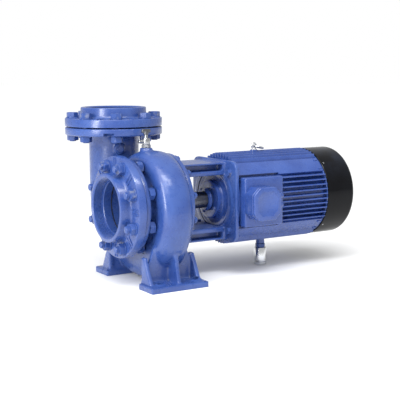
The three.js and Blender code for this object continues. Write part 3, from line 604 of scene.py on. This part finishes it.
gasketFace = flangeSize["suctionFace"] + flangeSize["thickness"]
piece("suctionCompanionFlange", moved(companionFlange(), (gasketFace, 0, 0), turnOver), blueMachined,
      nodes=["suction_companion_flange"])
piece("dischargeCompanionFlange", moved(companionFlange(), (*dischargeAt, flangeSize["dischargeBack"]),
                                        upright),
      blueMachined, nodes=["discharge_companion_flange"])


# Threaded fasteners, drawn along +X with the nut or head bearing on x = 0

def hexagon(radius, start, end, hole=0.0, both=True):
    # radius is across the corners; the corners are turned off in a cone at one or both ends
    bm = bmesh.new()
    bmesh.ops.create_cone(bm, cap_ends=True, segments=6, radius1=radius, radius2=radius, depth=end - start)
    moved(bm, ((start + end) / 2, 0, 0), facing((1, 0, 0)) @ Matrix.Rotation(math.pi / 2, 4, "Y"))
    slope = radius * 0.11
    flat = radius * 0.885
    near = [(start - 1, 0), (start - 1, flat - 1), (start, flat), (start + slope, radius + 0.4)]
    if not both:
        near = [(start - 1, 0), (start - 1, radius + 0.4)]
    cone = lathe(near + [(end - slope, radius + 0.4), (end, flat), (end + 1, flat - 1), (end + 1, 0)], 48)
    bm = combined(bm, [cone], "INTERSECT")
    if hole:
        bm = combined(bm, [rod(start - 3, end + 3, hole, 32)])
    return bm


def threadedRod(start, end, radius, threads=(), pitch=2.5, steps=32):
    # threads are (from, to) stretches cut with grooves
    profile = [(start, 0), (start, radius - 1.6), (start + 1.2, radius - 0.3)]
    for low, high in threads:
        for i in range(int((high - low) / pitch)):
            crest = low + i * pitch
            root = radius - pitch * 0.42
            profile += [(crest, radius), (crest + pitch * 0.25, radius), (crest + pitch * 0.55, root),
                        (crest + pitch * 0.75, root)]
        profile.append((high, radius))
    profile += [(end - 1.2, radius - 0.3), (end, radius - 1.6), (end, 0)]
    return lathe(profile, steps)


def washer(radius, hole, start, end):
    return lathe([(start, hole), (start, radius - 0.5), (start + 0.5, radius), (end - 0.5, radius),
                  (end, radius - 0.5), (end, hole)], 48, ring=True)


bolt = dict(nut=17.3, height=16, shank=9.8, washer=18.6, washerThickness=2.6, stud=11)


def flangeStud(grip, tapped):
    b = bolt
    top = b["height"] + b["stud"]
    low = -grip + 4 if tapped else -grip - b["height"] - 3
    shapes = [threadedRod(low, top, b["shank"], [(b["height"] + 0.5, top - 1.5)]),
              hexagon(b["nut"], b["washerThickness"], b["height"] + 0.3),
              washer(b["washer"], b["shank"], 0.1, b["washerThickness"] + 0.2)]
    if not tapped:
        shapes += [hexagon(b["nut"], -grip - b["height"] - 0.3, -grip - 0.2)]
    return gathered(shapes)


def flangeBolt(grip):
    b = bolt
    floorOf, over = b["height"] - 0.9, b["height"] + 1
    dish = lathe([(floorOf, 0), (floorOf, 10.5), (over, 11.2), (over, 0)], 40)
    head = combined(hexagon(b["nut"], b["washerThickness"], b["height"] + 0.3), [dish])
    nutEnd = -grip - b["height"]
    return gathered([threadedRod(nutEnd - 3, 6, b["shank"], [(nutEnd - 2, -grip)]), head,
                     washer(b["washer"], b["shank"], 0.1, b["washerThickness"] + 0.2),
                     hexagon(b["nut"], nutEnd - 0.3, -grip - 0.2)])


suctionGrip, dischargeGrip = 42, 49
for i, (y, z) in enumerate(around(8, flangeSize["circle"])):
    spin = Matrix.Rotation(math.radians(17 * i % 60), 4, "X")  # no two nuts stand alike
    stud = moved(flangeStud(suctionGrip, y > flangeSize["tappedBeyond"]), (0, 0, 0), spin)
    piece(f"suctionBolt{i + 1}", moved(stud, (flangeSize["suctionFace"], y, z), turnOver), zincPlate,
          nodes=[f"suction_bolt_{i + 1}"])
    hexBolt = moved(flangeBolt(dischargeGrip), (0, 0, 0), spin)
    seat = (dischargeAt[0] + y, dischargeAt[1] + z, flangeSize["dischargeBack"] + flangeSize["thickness"])
    piece(f"dischargeBolt{i + 1}", moved(hexBolt, seat, upright), zincPlate,
          nodes=[f"discharge_bolt_{i + 1}"])
print("flanges and bolts done")


# Lantern bracket with the casing cover, and what is bolted to it

lantern = dict(top=112, low=76, halfWidth=62, start=79.9, cover=142, back=93.9, rearFrom=242, rearTo=254,
               rearHalf=118, corner=28, hub=54, hubEnd=112, screwCircle=118.8, studCircle=131)


def roundedSquare(half, corner, steps=8):
    outline = []
    middle = half - corner
    for quarter, (u, v) in enumerate(((1, 1), (-1, 1), (-1, -1), (1, -1))):
        for i in range(steps + 1):
            angle = (quarter + i / steps) * math.pi / 2
            outline.append((u * middle + corner * math.cos(angle), v * middle + corner * math.sin(angle)))
    return outline


def lanternBracket():
    n = lantern
    cover = lathe([(68, 0), (68, 111.7), (n["start"], 111.7), (n["start"], n["cover"]),
                   (n["back"], n["cover"]),
                   (n["back"], 72), (n["back"] + 2, 64), (n["back"] + 8, n["hub"]), (n["hubEnd"], n["hub"]),
                   (n["hubEnd"], 0)])
    rim = lathe([(238.6, 0), (238.6, 96), (239.3, 99.5), (240.6, 102.5), (242, 104.5), (248, 105), (248, 0)])
    shapes = [cover, rim, slab(roundedSquare(n["rearHalf"], n["corner"]), "x", n["rearFrom"], n["rearTo"])]
    for side in (1, -1):
        z = (n["low"], n["top"]) if side > 0 else (-n["top"], -n["low"])
        beam = bar((n["back"] - 4, -n["halfWidth"], z[0]), (n["rearTo"] - 2, n["halfWidth"], z[1]))
        pocket = (z[0] + 13, z[1] - 5) if side > 0 else (z[0] + 5, z[1] - 13)
        pockets = [bar((n["back"] + 10, min(face * 36, face * 70), pocket[0]),
                       (n["rearFrom"] - 8, max(face * 36, face * 70), pocket[1])) for face in (-1, 1)]
        shapes.append(combined(beam, pockets))
    blended = cast(shapes, 2.1, 5)
    bores = [rod(60, 90, 30), rod(72, 120, 40), rod(230, 262, 86, 96)]
    bores += [xRod(y, z, 6.5, 230, 262) for y, z in around(4, n["screwCircle"])]
    frontCut = pipe(60, n["start"], 112, 170)
    rearCut = bar((n["rearTo"], -150, -150), (n["rearTo"] + 20, 150, 150))
    return combined(blended, [*bores, frontCut, rearCut])


piece("lanternBracket", lanternBracket(), blueCasting, nodes=["lantern_bracket"])


def capScrew(radius, height, socket=True):
    # a small hexagon head on its washer, drawn along +X
    shapes = [hexagon(radius, 1.2, height, both=False), washer(radius * 1.12, radius * 0.5, 0, 1.4)]
    if socket:
        shapes.append(threadedRod(-3, height + 4, radius * 0.54, [(height, height + 3.5)], pitch=1.5,
                                  steps=24))
    return gathered(shapes)


coverStuds = [moved(capScrew(10, 9), (lantern["back"] - 0.2, y, z))
              for y, z in around(12, lantern["studCircle"])]
piece("coverStuds", gathered(coverStuds), zincPlate)
cornerScrews = [moved(capScrew(10.5, 9, False), (lantern["rearFrom"] + 0.2, y, z), turnOver)
                for y, z in around(4, lantern["screwCircle"])]
piece("cornerScrews", gathered(cornerScrews), zincPlate)


gland = dict(studOffset=44, ear=12, middle=36, bore=26, spigot=39.4)


def glandPlate():
    g = gland
    out, ear, middle = g["studOffset"], g["ear"], g["middle"]
    outline = []
    for centre, radius, start, end in ((out, ear, -90, 90), (0, middle, 40, 140), (-out, ear, 90, 270),
                                       (0, middle, 220, 320)):
        for i in range(11):
            angle = math.radians(lerp(start, end, i / 10))
            outline.append((centre + radius * math.cos(angle), radius * math.sin(angle)))
    plate = softened(slab(outline, "x", 112.3, 125), 1.4)
    collar = lathe([(120, g["bore"]), (120, 34), (129, 33), (130.5, 31.5), (130.5, g["bore"])], 64, ring=True)
    plate = combined(plate, [rod(105, 114, g["spigot"])], "UNION")
    plate = combined(plate, [rod(100, 130, g["bore"]), *[xRod(y, 0, 5.6, 100, 130) for y in (out, -out)]])
    return gathered([plate, collar])


piece("glandPlate", glandPlate(), blueMachined, nodes=["gland_plate"])
for i, side in enumerate((-1, 1)):
    stud = gathered([threadedRod(0.3, 34, 5, [(10, 33)], pitch=1.5, steps=24), hexagon(9, 14.6, 21.6, 5),
                     washer(9.6, 5, 13, 14.8)])
    piece(f"glandStud{i + 1}", moved(stud, (lantern["hubEnd"], side * gland["studOffset"], 0)), zincPlate,
          nodes=[f"gland_stud_{i + 1}"])

shaftSteps = [(8, 0), (8, 12), (9, 13), (60, 13), (60, 21.4), (60.6, 22), (150, 22), (150.4, 23.4), (151, 24),
              (160, 24), (160.6, 23.2), (162, 23.2), (162.6, 24), (231.6, 24), (232, 22.2), (270, 22.2),
              (270, 27),
              (546, 27), (546, 19.7), (584, 19.7), (584, 14), (625, 14), (626, 13), (626, 0)]
piece("shaft", lathe(shaftSteps, 64), turnedSteel, body="rotor", nodes=["shaft"])
slinger = lathe([(208, 24.3), (208, 27.4), (208.6, 28), (212.4, 32.2), (213.6, 33), (217.2, 33), (218, 32.2),
                 (218, 28), (216, 27), (216, 24.3)], 80, ring=True)
piece("shaftSlinger", slinger, blueMachined, body="rotor", nodes=["shaft_slinger"])
print("lantern done")


# Motor

motor = dict(start=262, end=564, shell=118, bore=108, fin=135, panel=131, fins=10, pitch=14, finThickness=4.6,
             padFront=-136, padRoot=-105, padHalf=71, padEnd=396, groove=6.5, eyeX=386, jackX=410)

endshield = lathe([
    (223.5, 25.2), (222.4, 26.6), (222, 28), (222, 50.5), (222.3, 53.4), (223, 55.6), (224.4, 57),
    (231.6, 57), (232.6, 56.4), (233.2, 54.9), (234.2, 54.5), (235.2, 54.9), (235.8, 56.4), (237, 57.6),
    (238.6, 58.6), (239.5, 60.5), (239.5, 67), (240.1, 68.4), (240.1, 74), (239.5, 75.4), (239.5, 83),
    (241, 84.5),
    (254.3, 84.5), (254.3, 111.6), (255, 113), (257, 115), (260.5, 115), (261.7, 114),
    (261.7, 107.7), (269, 107.7), (270, 106.6), (270, 96), (260, 92), (251, 80), (249, 62), (262, 60),
    (262, 50.3), (235.7, 50.3), (235.7, 25.2),
], 128, ring=True)
piece("driveEndshield", endshield, blueMotor, nodes=["drive_endshield"])
capScrews = [moved(capScrew(4.4, 4.2, False), (222.2, y, z), turnOver) for y, z in around(4, 44, 0.35)]
piece("bearingCapScrews", gathered(capScrews), zincPlate)


def frameOutline():
    m = motor
    points = []
    reach = m["pitch"] * (m["fins"] - 1) / 2
    half = m["finThickness"] / 2
    for side in range(4):
        turn = side * math.pi / 2
        c, s = math.cos(turn), math.sin(turn)

        def add(outward, across):
            points.append((outward * c - across * s, outward * s + across * c))
        for i in range(m["fins"]):
            middle = -reach + i * m["pitch"]
            tip = math.sqrt(m["fin"] ** 2 - middle ** 2 * 0.9)
            foot = math.sqrt(m["shell"] ** 2 - middle ** 2)
            for across, out in ((-1.35, 0.2), (-1.08, 1.6), (-1, 4)):
                add(foot + out, middle + across * half)
            for across, out in ((-0.8, -1.2), (-0.55, -0.3), (0, 0), (0.55, -0.3), (0.8, -1.2)):
                add(tip + out, middle + across * half)
            for across, out in ((1, 4), (1.08, 1.6), (1.35, 0.2)):
                add(foot + out, middle + across * half)
        panelFrom = math.asin((reach + m["pitch"] * 0.75) / m["panel"])
        for k in range(13):
            angle = turn + lerp(panelFrom, math.pi / 2 - panelFrom, k / 12)
            points.append((m["panel"] * math.cos(angle), m["panel"] * math.sin(angle)))
    return points


def statorFrame():
    m = motor
    shell = slab(frameOutline(), "x", m["start"], m["end"])
    outside, half = m["padFront"] - 4, m["padHalf"]
    grooves = [bar((m["start"] - 5, outside, low), (m["padEnd"] + 4, -96, low + m["groove"]))
               for low in (-half - m["groove"], half)]
    finEnds = bar((m["start"] - 5, outside, -half), (m["start"] + 6, -119, half))
    shell = combined(shell, [*grooves, finEnds])
    pad = bar((m["start"] + 0.3, m["padFront"], -half), (m["padEnd"], m["padRoot"], half))
    pad = softened(pad, 5, 4)
    bosses = [zRod(m["eyeX"], 0, 12, 118, 137, 48, 1), zRod(m["jackX"], 0, 13, -149, -110, 48, 1)]
    shell = combined(shell, [pad, *bosses], "UNION")
    marks = []
    for side in (1, -1):  # clamping lugs near the fan end, on the smooth corners
        for angle in (45, 135, 225, 315):
            turn = Matrix.Rotation(math.radians(angle + side * 7), 4, "X")
            marks.append(moved(softened(bar((548, -3, 126), (561, 3, 133.4)), 1), (0, 0, 0), turn))
    shell = combined(shell, marks, "UNION")
    tools = [rod(250, 580, m["bore"], 96), bar((290, -141, -16), (324, -100, 16)),
             zRod(m["jackX"], 0, 8.4, -151, -118), zRod(m["eyeX"], 0, 5.6, 128, 139)]
    return combined(shell, tools)


piece("statorFrame", statorFrame(), blueMotor, nodes=["stator_frame"])

fanShield = lathe([(558, 107.7), (564.3, 107.7), (564.3, 129.6), (565, 130.6), (566.6, 130.6), (567, 128),
                   (574, 128), (580, 110), (582, 50), (582, 24), (568.3, 24), (568.3, 40.3), (548, 40.3),
                   (548, 48), (568, 56), (568, 100)], 96, ring=True)
piece("fanEndshield", fanShield, zincPlate, nodes=["fan_endshield"])

cowl = dict(start=567, end=672, radius=134, wall=2.5, rounding=16)


def cowlProfile(radius, start, end, corner, closed):
    profile = [(start, radius - 1.2), (start + 1.5, radius)]
    for i in range(13):
        angle = math.pi * i / 24
        profile.append((end - corner + corner * math.sin(angle), radius - corner + corner * math.cos(angle)))
    return profile + [(end, closed)]


def fanCowl():
    w = cowl
    outside = [(w["start"], 0), *cowlProfile(w["radius"], w["start"], w["end"], w["rounding"], 30),
               (w["end"] - 1.5, 28), (w["end"] - 1.5, 0)]
    inside = [(w["start"] - 5, 0), *cowlProfile(w["radius"] - w["wall"], w["start"] - 5, w["end"] - w["wall"],
                                                w["rounding"] - w["wall"], 0)]
    slots = []
    for i in range(12):
        slot = softened(bar((w["end"] - 12, -6, 34), (w["end"] + 6, 6, 98)), 5.8, 6)
        slots.append(moved(slot, (0, 0, 0), Matrix.Rotation(i * tau / 12, 4, "X")))
    return combined(lathe(outside, 128), [lathe(inside, 128), *slots])


piece("fanCowl", fanCowl(), blackGloss, nodes=["fan_cowl"])
cowlScrews = []
for angle in (45, 135, 225, 315):
    turn = Matrix.Rotation(math.radians(angle), 4, "X")
    head = lathe([(-6, 0), (-6, 4.2), (-0.4, 4.2), (-0.4, 2.2), (0, 1.8), (0, 0)], 32)
    cowlScrews.append(moved(moved(head, (cowl["start"] + 10, 0, cowl["radius"] + 0.2), upright), (0, 0, 0),
                            turn))
piece("cowlScrews", gathered(cowlScrews), chromePlate)


# Terminal box

box = dict(start=260, end=354, half=47.5, root=-136, coverY=-176, front=-186, chamfer=20, wall=5, glandY=-152,
           glandHeights=(16, -10))


def octagon(start, end, half, chamfer):
    return [(start + chamfer, -half), (end - chamfer, -half), (end, chamfer - half), (end, half - chamfer),
            (end - chamfer, half), (start + chamfer, half), (start, half - chamfer), (start, chamfer - half)]


def boxOutline(inset=0, cornerInset=0):
    return octagon(box["start"] + inset, box["end"] - inset, box["half"] - inset,
                   box["chamfer"] - cornerInset)


def terminalBox():
    b = box
    outer = softened(slab(boxOutline(), "y", b["coverY"], b["root"] - 0.3), 2.6, 3)
    inner = slab(boxOutline(b["wall"], 2), "y", b["coverY"] - 2, b["root"] - b["wall"])
    rim = slab(boxOutline(-0.2), "y", b["coverY"] + 3.4, b["coverY"] + 4.6)
    rim = combined(rim, [slab(boxOutline(1), "y", -190, -130)])
    entries = [moved(rod(340, 360, 8.4), (0, b["glandY"], z)) for z in b["glandHeights"]]
    return combined(outer, [inner, rim, bar((290, -146, -16), (324, -130, 16)), *entries])


piece("terminalBox", terminalBox(), blueMotor, nodes=["terminal_box"])
lid = slab(boxOutline(), "y", box["front"], box["coverY"] - 0.3)
panel = slab(boxOutline(13, 5), "y", box["front"] - 2, box["front"] + 0.9)
piece("terminalCover", combined(softened(lid, 4.2, 5), [softened(panel, 0.8, 2)]), blueMotor,
      nodes=["terminal_cover"])
lidScrews = []
for x, z in ((272, 38), (342, 38), (342, -38), (272, -38)):
    pull = Vector(((box["start"] + box["end"]) / 2 - x, -z)).normalized() * 8
    head = lathe([(0, 0), (0, 3.6), (1.6, 3.6), (2.4, 2.6), (2.4, 0)], 32)
    head = combined(head, [bar((1.4, -4, -0.5), (3, 4, 0.5))])
    lidScrews.append(moved(head, (x + pull.x, box["front"] + 2.6, z + pull.y), facing((0, -1, 0))))
piece("coverScrews", gathered(lidScrews), zincPlate)
for i, z in enumerate(box["glandHeights"]):
    collar = hexagon(12, 0.3, 9)
    dome = lathe([(9, 0), (9, 9.4), (10, 11), (20, 10.4), (23, 9.4), (26, 7.4), (28, 5.8), (28, 4.6),
                  (25, 4.2),
                  (25, 0)], 64)
    stem = rod(-7, 2, 8.1, 32)
    piece(f"cableGland{i + 1}", moved(gathered([stem, collar, dome]), (box["end"], box["glandY"], z)),
          blueMotor,
          nodes=[f"cable_gland_{i + 1}"])
print("motor done")


# Lifting eye, air cock, plugs and jack

def hoop(radius, wire, steps=64, sides=20):
    # a round wire ring about the Z axis
    bm = bmesh.new()
    bmesh.ops.create_circle(bm, cap_ends=False, radius=wire, segments=sides,
                            matrix=Matrix.Translation((radius, 0, 0)) @ Matrix.Rotation(math.pi / 2, 4, "X"))
    bmesh.ops.spin(bm, geom=bm.verts[:] + bm.edges[:], cent=(0, 0, 0), axis=(0, 0, 1), dvec=(0, 0, 0),
                   angle=tau, steps=steps, use_merge=True, use_duplicate=False)
    bmesh.ops.remove_doubles(bm, verts=bm.verts, dist=1e-4)
    bmesh.ops.recalc_face_normals(bm, faces=bm.faces)
    return bm


eye = dict(x=motor["eyeX"], z=149.5, radius=7.6, wire=2.6, loose=15.5, lean=16)
eyeRing = moved(hoop(eye["radius"], eye["wire"]), (eye["x"], 0, eye["z"]),
                Matrix.Rotation(math.pi / 2, 4, "X"))
eyeStem = moved(lathe([(130, 0), (130, 5), (137.3, 5), (137.3, 8.6), (137.8, 9), (139.2, 9), (139.6, 8.6),
                       (140.6, 5.4), (142.2, 4.2), (142.4, 0)], 48), (eye["x"], 0, 0), upright)
piece("liftingEye", gathered([eyeRing, eyeStem]), chromePlate, nodes=["lifting_eye"])
loose = moved(moved(hoop(eye["loose"], eye["wire"]), (eye["loose"], 0, 0)), (eye["x"], 0, eye["z"]),
              Matrix.Rotation(math.radians(eye["lean"]), 4, "Y"))
piece("liftingRing", loose, chromePlate, body="lifting_ring", nodes=["lifting_ring"])

cockAt = (volute["cockX"], volute["cockY"], 0)
cock = dict(boss=160, spoutHeight=178)
stem = gathered([
    rod(148, 162, 5.6, 32), hexagon(13, cock["boss"] + 0.3, cock["boss"] + 9),
    lathe([(168, 0), (168, 9), (169, 10.4), (170.5, 11), (185, 11), (187, 10), (188, 8), (188.4, 5.2),
           (190, 4.8),
           (195.7, 4.8), (195.7, 0)], 48),
])
spout = lathe([(0, 0), (0, 5), (15, 5), (15, 6), (18, 6), (18, 5), (23.2, 5), (24, 4.2), (24, 2.6), (19, 2.4),
               (19, 0)], 40)
cockShapes = [moved(stem, (0, 0, 0), upright), moved(spout, (0, 0, cock["spoutHeight"]), turnOver)]
piece("airCockBody", moved(gathered(cockShapes), cockAt), groundSteel, nodes=["air_cock_body"])
leverHub = moved(lathe([(196, 0), (196, 6.2), (197, 7), (205, 7), (206, 6), (206, 0)], 48), (0, 0, 0),
                 upright)
leverBar = softened(bar((-14, -3.5, 202), (14, 3.5, 213)), 2.6, 4)
piece("airCockLever", moved(combined(leverHub, [leverBar], "UNION"), cockAt), turnedSteel,
      body="air_cock_lever", nodes=["air_cock_lever"])


def plug(length):
    return gathered([rod(-8, 1, 8, 32), hexagon(10, 0.3, length, both=False)])


gaugeSeat = (dischargeAt[0] + volute["gaugeReach"] * math.cos(gaugeAngle),
             dischargeAt[1] + volute["gaugeReach"] * math.sin(gaugeAngle), gaugeHeight)
piece("gaugePlug", moved(plug(6), gaugeSeat, gaugeTurn), blueMachined, nodes=["gauge_plug"])
piece("drainPlug", moved(plug(8), (volute["drainFace"], 0, volute["drainZ"])), blueMachined,
      nodes=["drain_plug"])

jack = dict(x=motor["jackX"], nutTop=-149.3, nutLow=-161, nut=14.5, foot=19, neck=18.2, floor=volute["floor"],
            threads=14, pitch=2.5)
lockNut = lathe([(jack["nutLow"], 8.3), (jack["nutLow"], 13), (jack["nutLow"] + 1.4, jack["nut"]),
                 (jack["nutTop"] - 1.4, jack["nut"]), (jack["nutTop"], 13),
                 (jack["nutTop"], 8.3)], 64, ring=True)
piece("jackLockNut", moved(lockNut, (jack["x"], 0, 0), upright), zincPlate, nodes=["jack_collar"])
low = jack["floor"]
footProfile = [(low, 0), (low, 17.6), (low + 1.4, jack["foot"]), (low + 9, jack["foot"]),
               (low + 10, jack["neck"]),
               (low + 12, jack["neck"]), (low + 13, jack["foot"]), (-164.3, jack["foot"]),
               (-162.2, jack["neck"]),
               (-161.3, 16.6), (-161.3, 8)]
for i in range(jack["threads"]):
    crest = -160 + i * jack["pitch"]
    footProfile += [(crest, 8), (crest + 1, 8), (crest + 1.7, 7.1), (crest + 2.2, 7.1)]
footProfile += [(-124.4, 7.4), (-124, 6.8), (-124, 0)]
piece("jackFoot", moved(lathe(footProfile, 64), (jack["x"], 0, 0), upright), chromePlate, body="jack_foot",
      nodes=["jack_foot"])


# Impeller, seen down the suction bore

def impellerWheel():
    back = lathe([(14, 0), (14, 22), (20, 23.5), (30, 28), (38, 36), (46, 50), (51, 72), (54, 100), (60, 100),
                  (60, 0)], 80)
    shroud = lathe([(-8, 55), (-8, 61), (-7, 62), (6, 62), (10, 63.5), (16, 70), (22, 84), (26, 99),
                    (27, 100),
                    (30, 100), (25, 84), (20, 70), (12, 58), (4, 55)], 80, ring=True)
    limit = lathe([(10, 20), (14, 62), (17, 68), (27, 99), (56, 99), (48, 20)], 48, ring=True)
    vaneCount, centre, outer, inner = 6, (62, -24), 66, 60.5  # vanes are arcs about a point beside the shaft
    blades = []
    for i in range(vaneCount):
        arc = [(centre[0] + r * math.cos(math.radians(a)), centre[1] + r * math.sin(math.radians(a)))
               for r, sweep in ((outer, range(170, 69, -5)), (inner, range(70, 171, 5))) for a in sweep]
        blades.append(moved(slab(arc, "x", 19, 56), (0, 0, 0), Matrix.Rotation(i * tau / vaneCount, 4, "X")))
    vanes = [combined(blade, [limit.copy()], "INTERSECT") for blade in blades]
    limit.free()
    return combined(combined(back, [shroud, *vanes], "UNION"), [rod(5, 65, 13.3)])


piece("impeller", impellerWheel(), castBronze, body="rotor", nodes=["impeller"])
nose = lathe([(-14, 0), (-13.4, 4), (-12, 8), (-9.5, 11), (-6, 13), (2, 15), (2.2, 0)], 48)
nutBody = combined(hexagon(19, 1.5, 13.5), [rod(7.7, 20, 13.3)])
piece("impellerNut", gathered([nutBody, nose]), groundSteel, body="rotor", nodes=["impeller_nut"])


# CAD nodes that are carried over with a proper finish

carried = {
    "suction_gasket": gasketSheet, "discharge_gasket": gasketSheet, "casing_gasket": gasketSheet,
    "casing_wear_ring": castBronze, "seal_rotor": groundSteel, "seal_seat": sealCarbon,
    "drive_bearing_outer": groundSteel, "drive_bearing_balls": groundSteel,
    "drive_bearing_inner": groundSteel,
    "fan_bearing_outer": groundSteel, "fan_bearing_balls": groundSteel, "fan_bearing_inner": groundSteel,
    "stator_core": laminations, "rotor_core": laminations, "winding_head_drive": varnishedCopper,
    "winding_head_fan": varnishedCopper, "cooling_fan": fanNylon,
}
for nodeName, finish in carried.items():
    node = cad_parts[nodeName]
    node.data.materials.clear()
    node.data.materials.append(finish)
print("small parts done")


# Stage: floor, light and camera

stage = dict(floorRadius=30.0, white=(0.94, 0.945, 0.95), backdrop=1.0, fill=0.62, sun=1.9, sunSpread=55,
             sunAim=(0.5, 0.42, -1.0))
bm = bmesh.new()
bmesh.ops.create_circle(bm, cap_ends=True, segments=96, radius=stage["floorRadius"])
mesh = bpy.data.meshes.new("floor")
bm.to_mesh(mesh)
bm.free()
floor = bpy.data.objects.new("floor", mesh)
floor.location.z = -0.0005
bpy.context.scene.collection.objects.link(floor)
floorFinish, tree, shader = newMaterial("floorFinish", stage["white"], Roughness=0.9)
floor.data.materials.append(floorFinish)

world = bpy.data.worlds.new("studio")
world.use_nodes = True
sky = world.node_tree.nodes["Background"]
sky.inputs["Color"].default_value = (1, 1, 1, 1)
path = world.node_tree.nodes.new("ShaderNodeLightPath")
strength = ranged(world.node_tree, path.outputs["Is Camera Ray"], 0.0, 1.0, stage["fill"], stage["backdrop"])
world.node_tree.links.new(strength, sky.inputs["Strength"])
bpy.context.scene.world = world
bpy.context.scene.view_settings.view_transform = "Standard"


def softbox(name, at, aim, size, power):
    data = bpy.data.lights.new(name, "AREA")
    data.shape = "RECTANGLE"
    data.size, data.size_y = size
    data.energy = power
    lamp = bpy.data.objects.new(name, data)
    lamp.location = at
    lamp.rotation_euler = (Vector(aim) - Vector(at)).to_track_quat("-Z", "Y").to_euler()
    bpy.context.scene.collection.objects.link(lamp)


sunData = bpy.data.lights.new("sun", "SUN")
sunData.energy = stage["sun"]
sunData.angle = math.radians(stage["sunSpread"])
sun = bpy.data.objects.new("sun", sunData)
sun.rotation_euler = Vector(stage["sunAim"]).to_track_quat("-Z", "Y").to_euler()
bpy.context.scene.collection.objects.link(sun)
softbox("sideBox", (-2.5, -0.8, 1.0), (-0.2, 0, 0.25), (0.6, 1.6), 38)
softbox("topBox", (-0.4, -1.2, 2.3), (0, 0, 0.25), (1.8, 0.4), 26)

camera = dict(at=(-1.51046605, -2.40758918, 0.59767105), yaw=31.557, pitch=7.951, roll=-0.25, lens=85.39)
cameraData = bpy.data.cameras.new("camera")
cameraData.sensor_width = 36
cameraData.lens = camera["lens"]
cameraData.clip_end = 100
cameraObject = bpy.data.objects.new("camera", cameraData)
yaw, pitch = math.radians(camera["yaw"]), math.radians(camera["pitch"])
look = Vector((math.sin(yaw) * math.cos(pitch), math.cos(yaw) * math.cos(pitch), -math.sin(pitch)))
tilt = Matrix.Rotation(math.radians(camera["roll"]), 4, "Z")
aimTurn = look.to_track_quat("-Z", "Y").to_matrix().to_4x4() @ tilt
cameraObject.matrix_world = Matrix.Translation(camera["at"]) @ aimTurn
bpy.context.scene.collection.objects.link(cameraObject)
bpy.context.scene.camera = cameraObject

print("stage done")
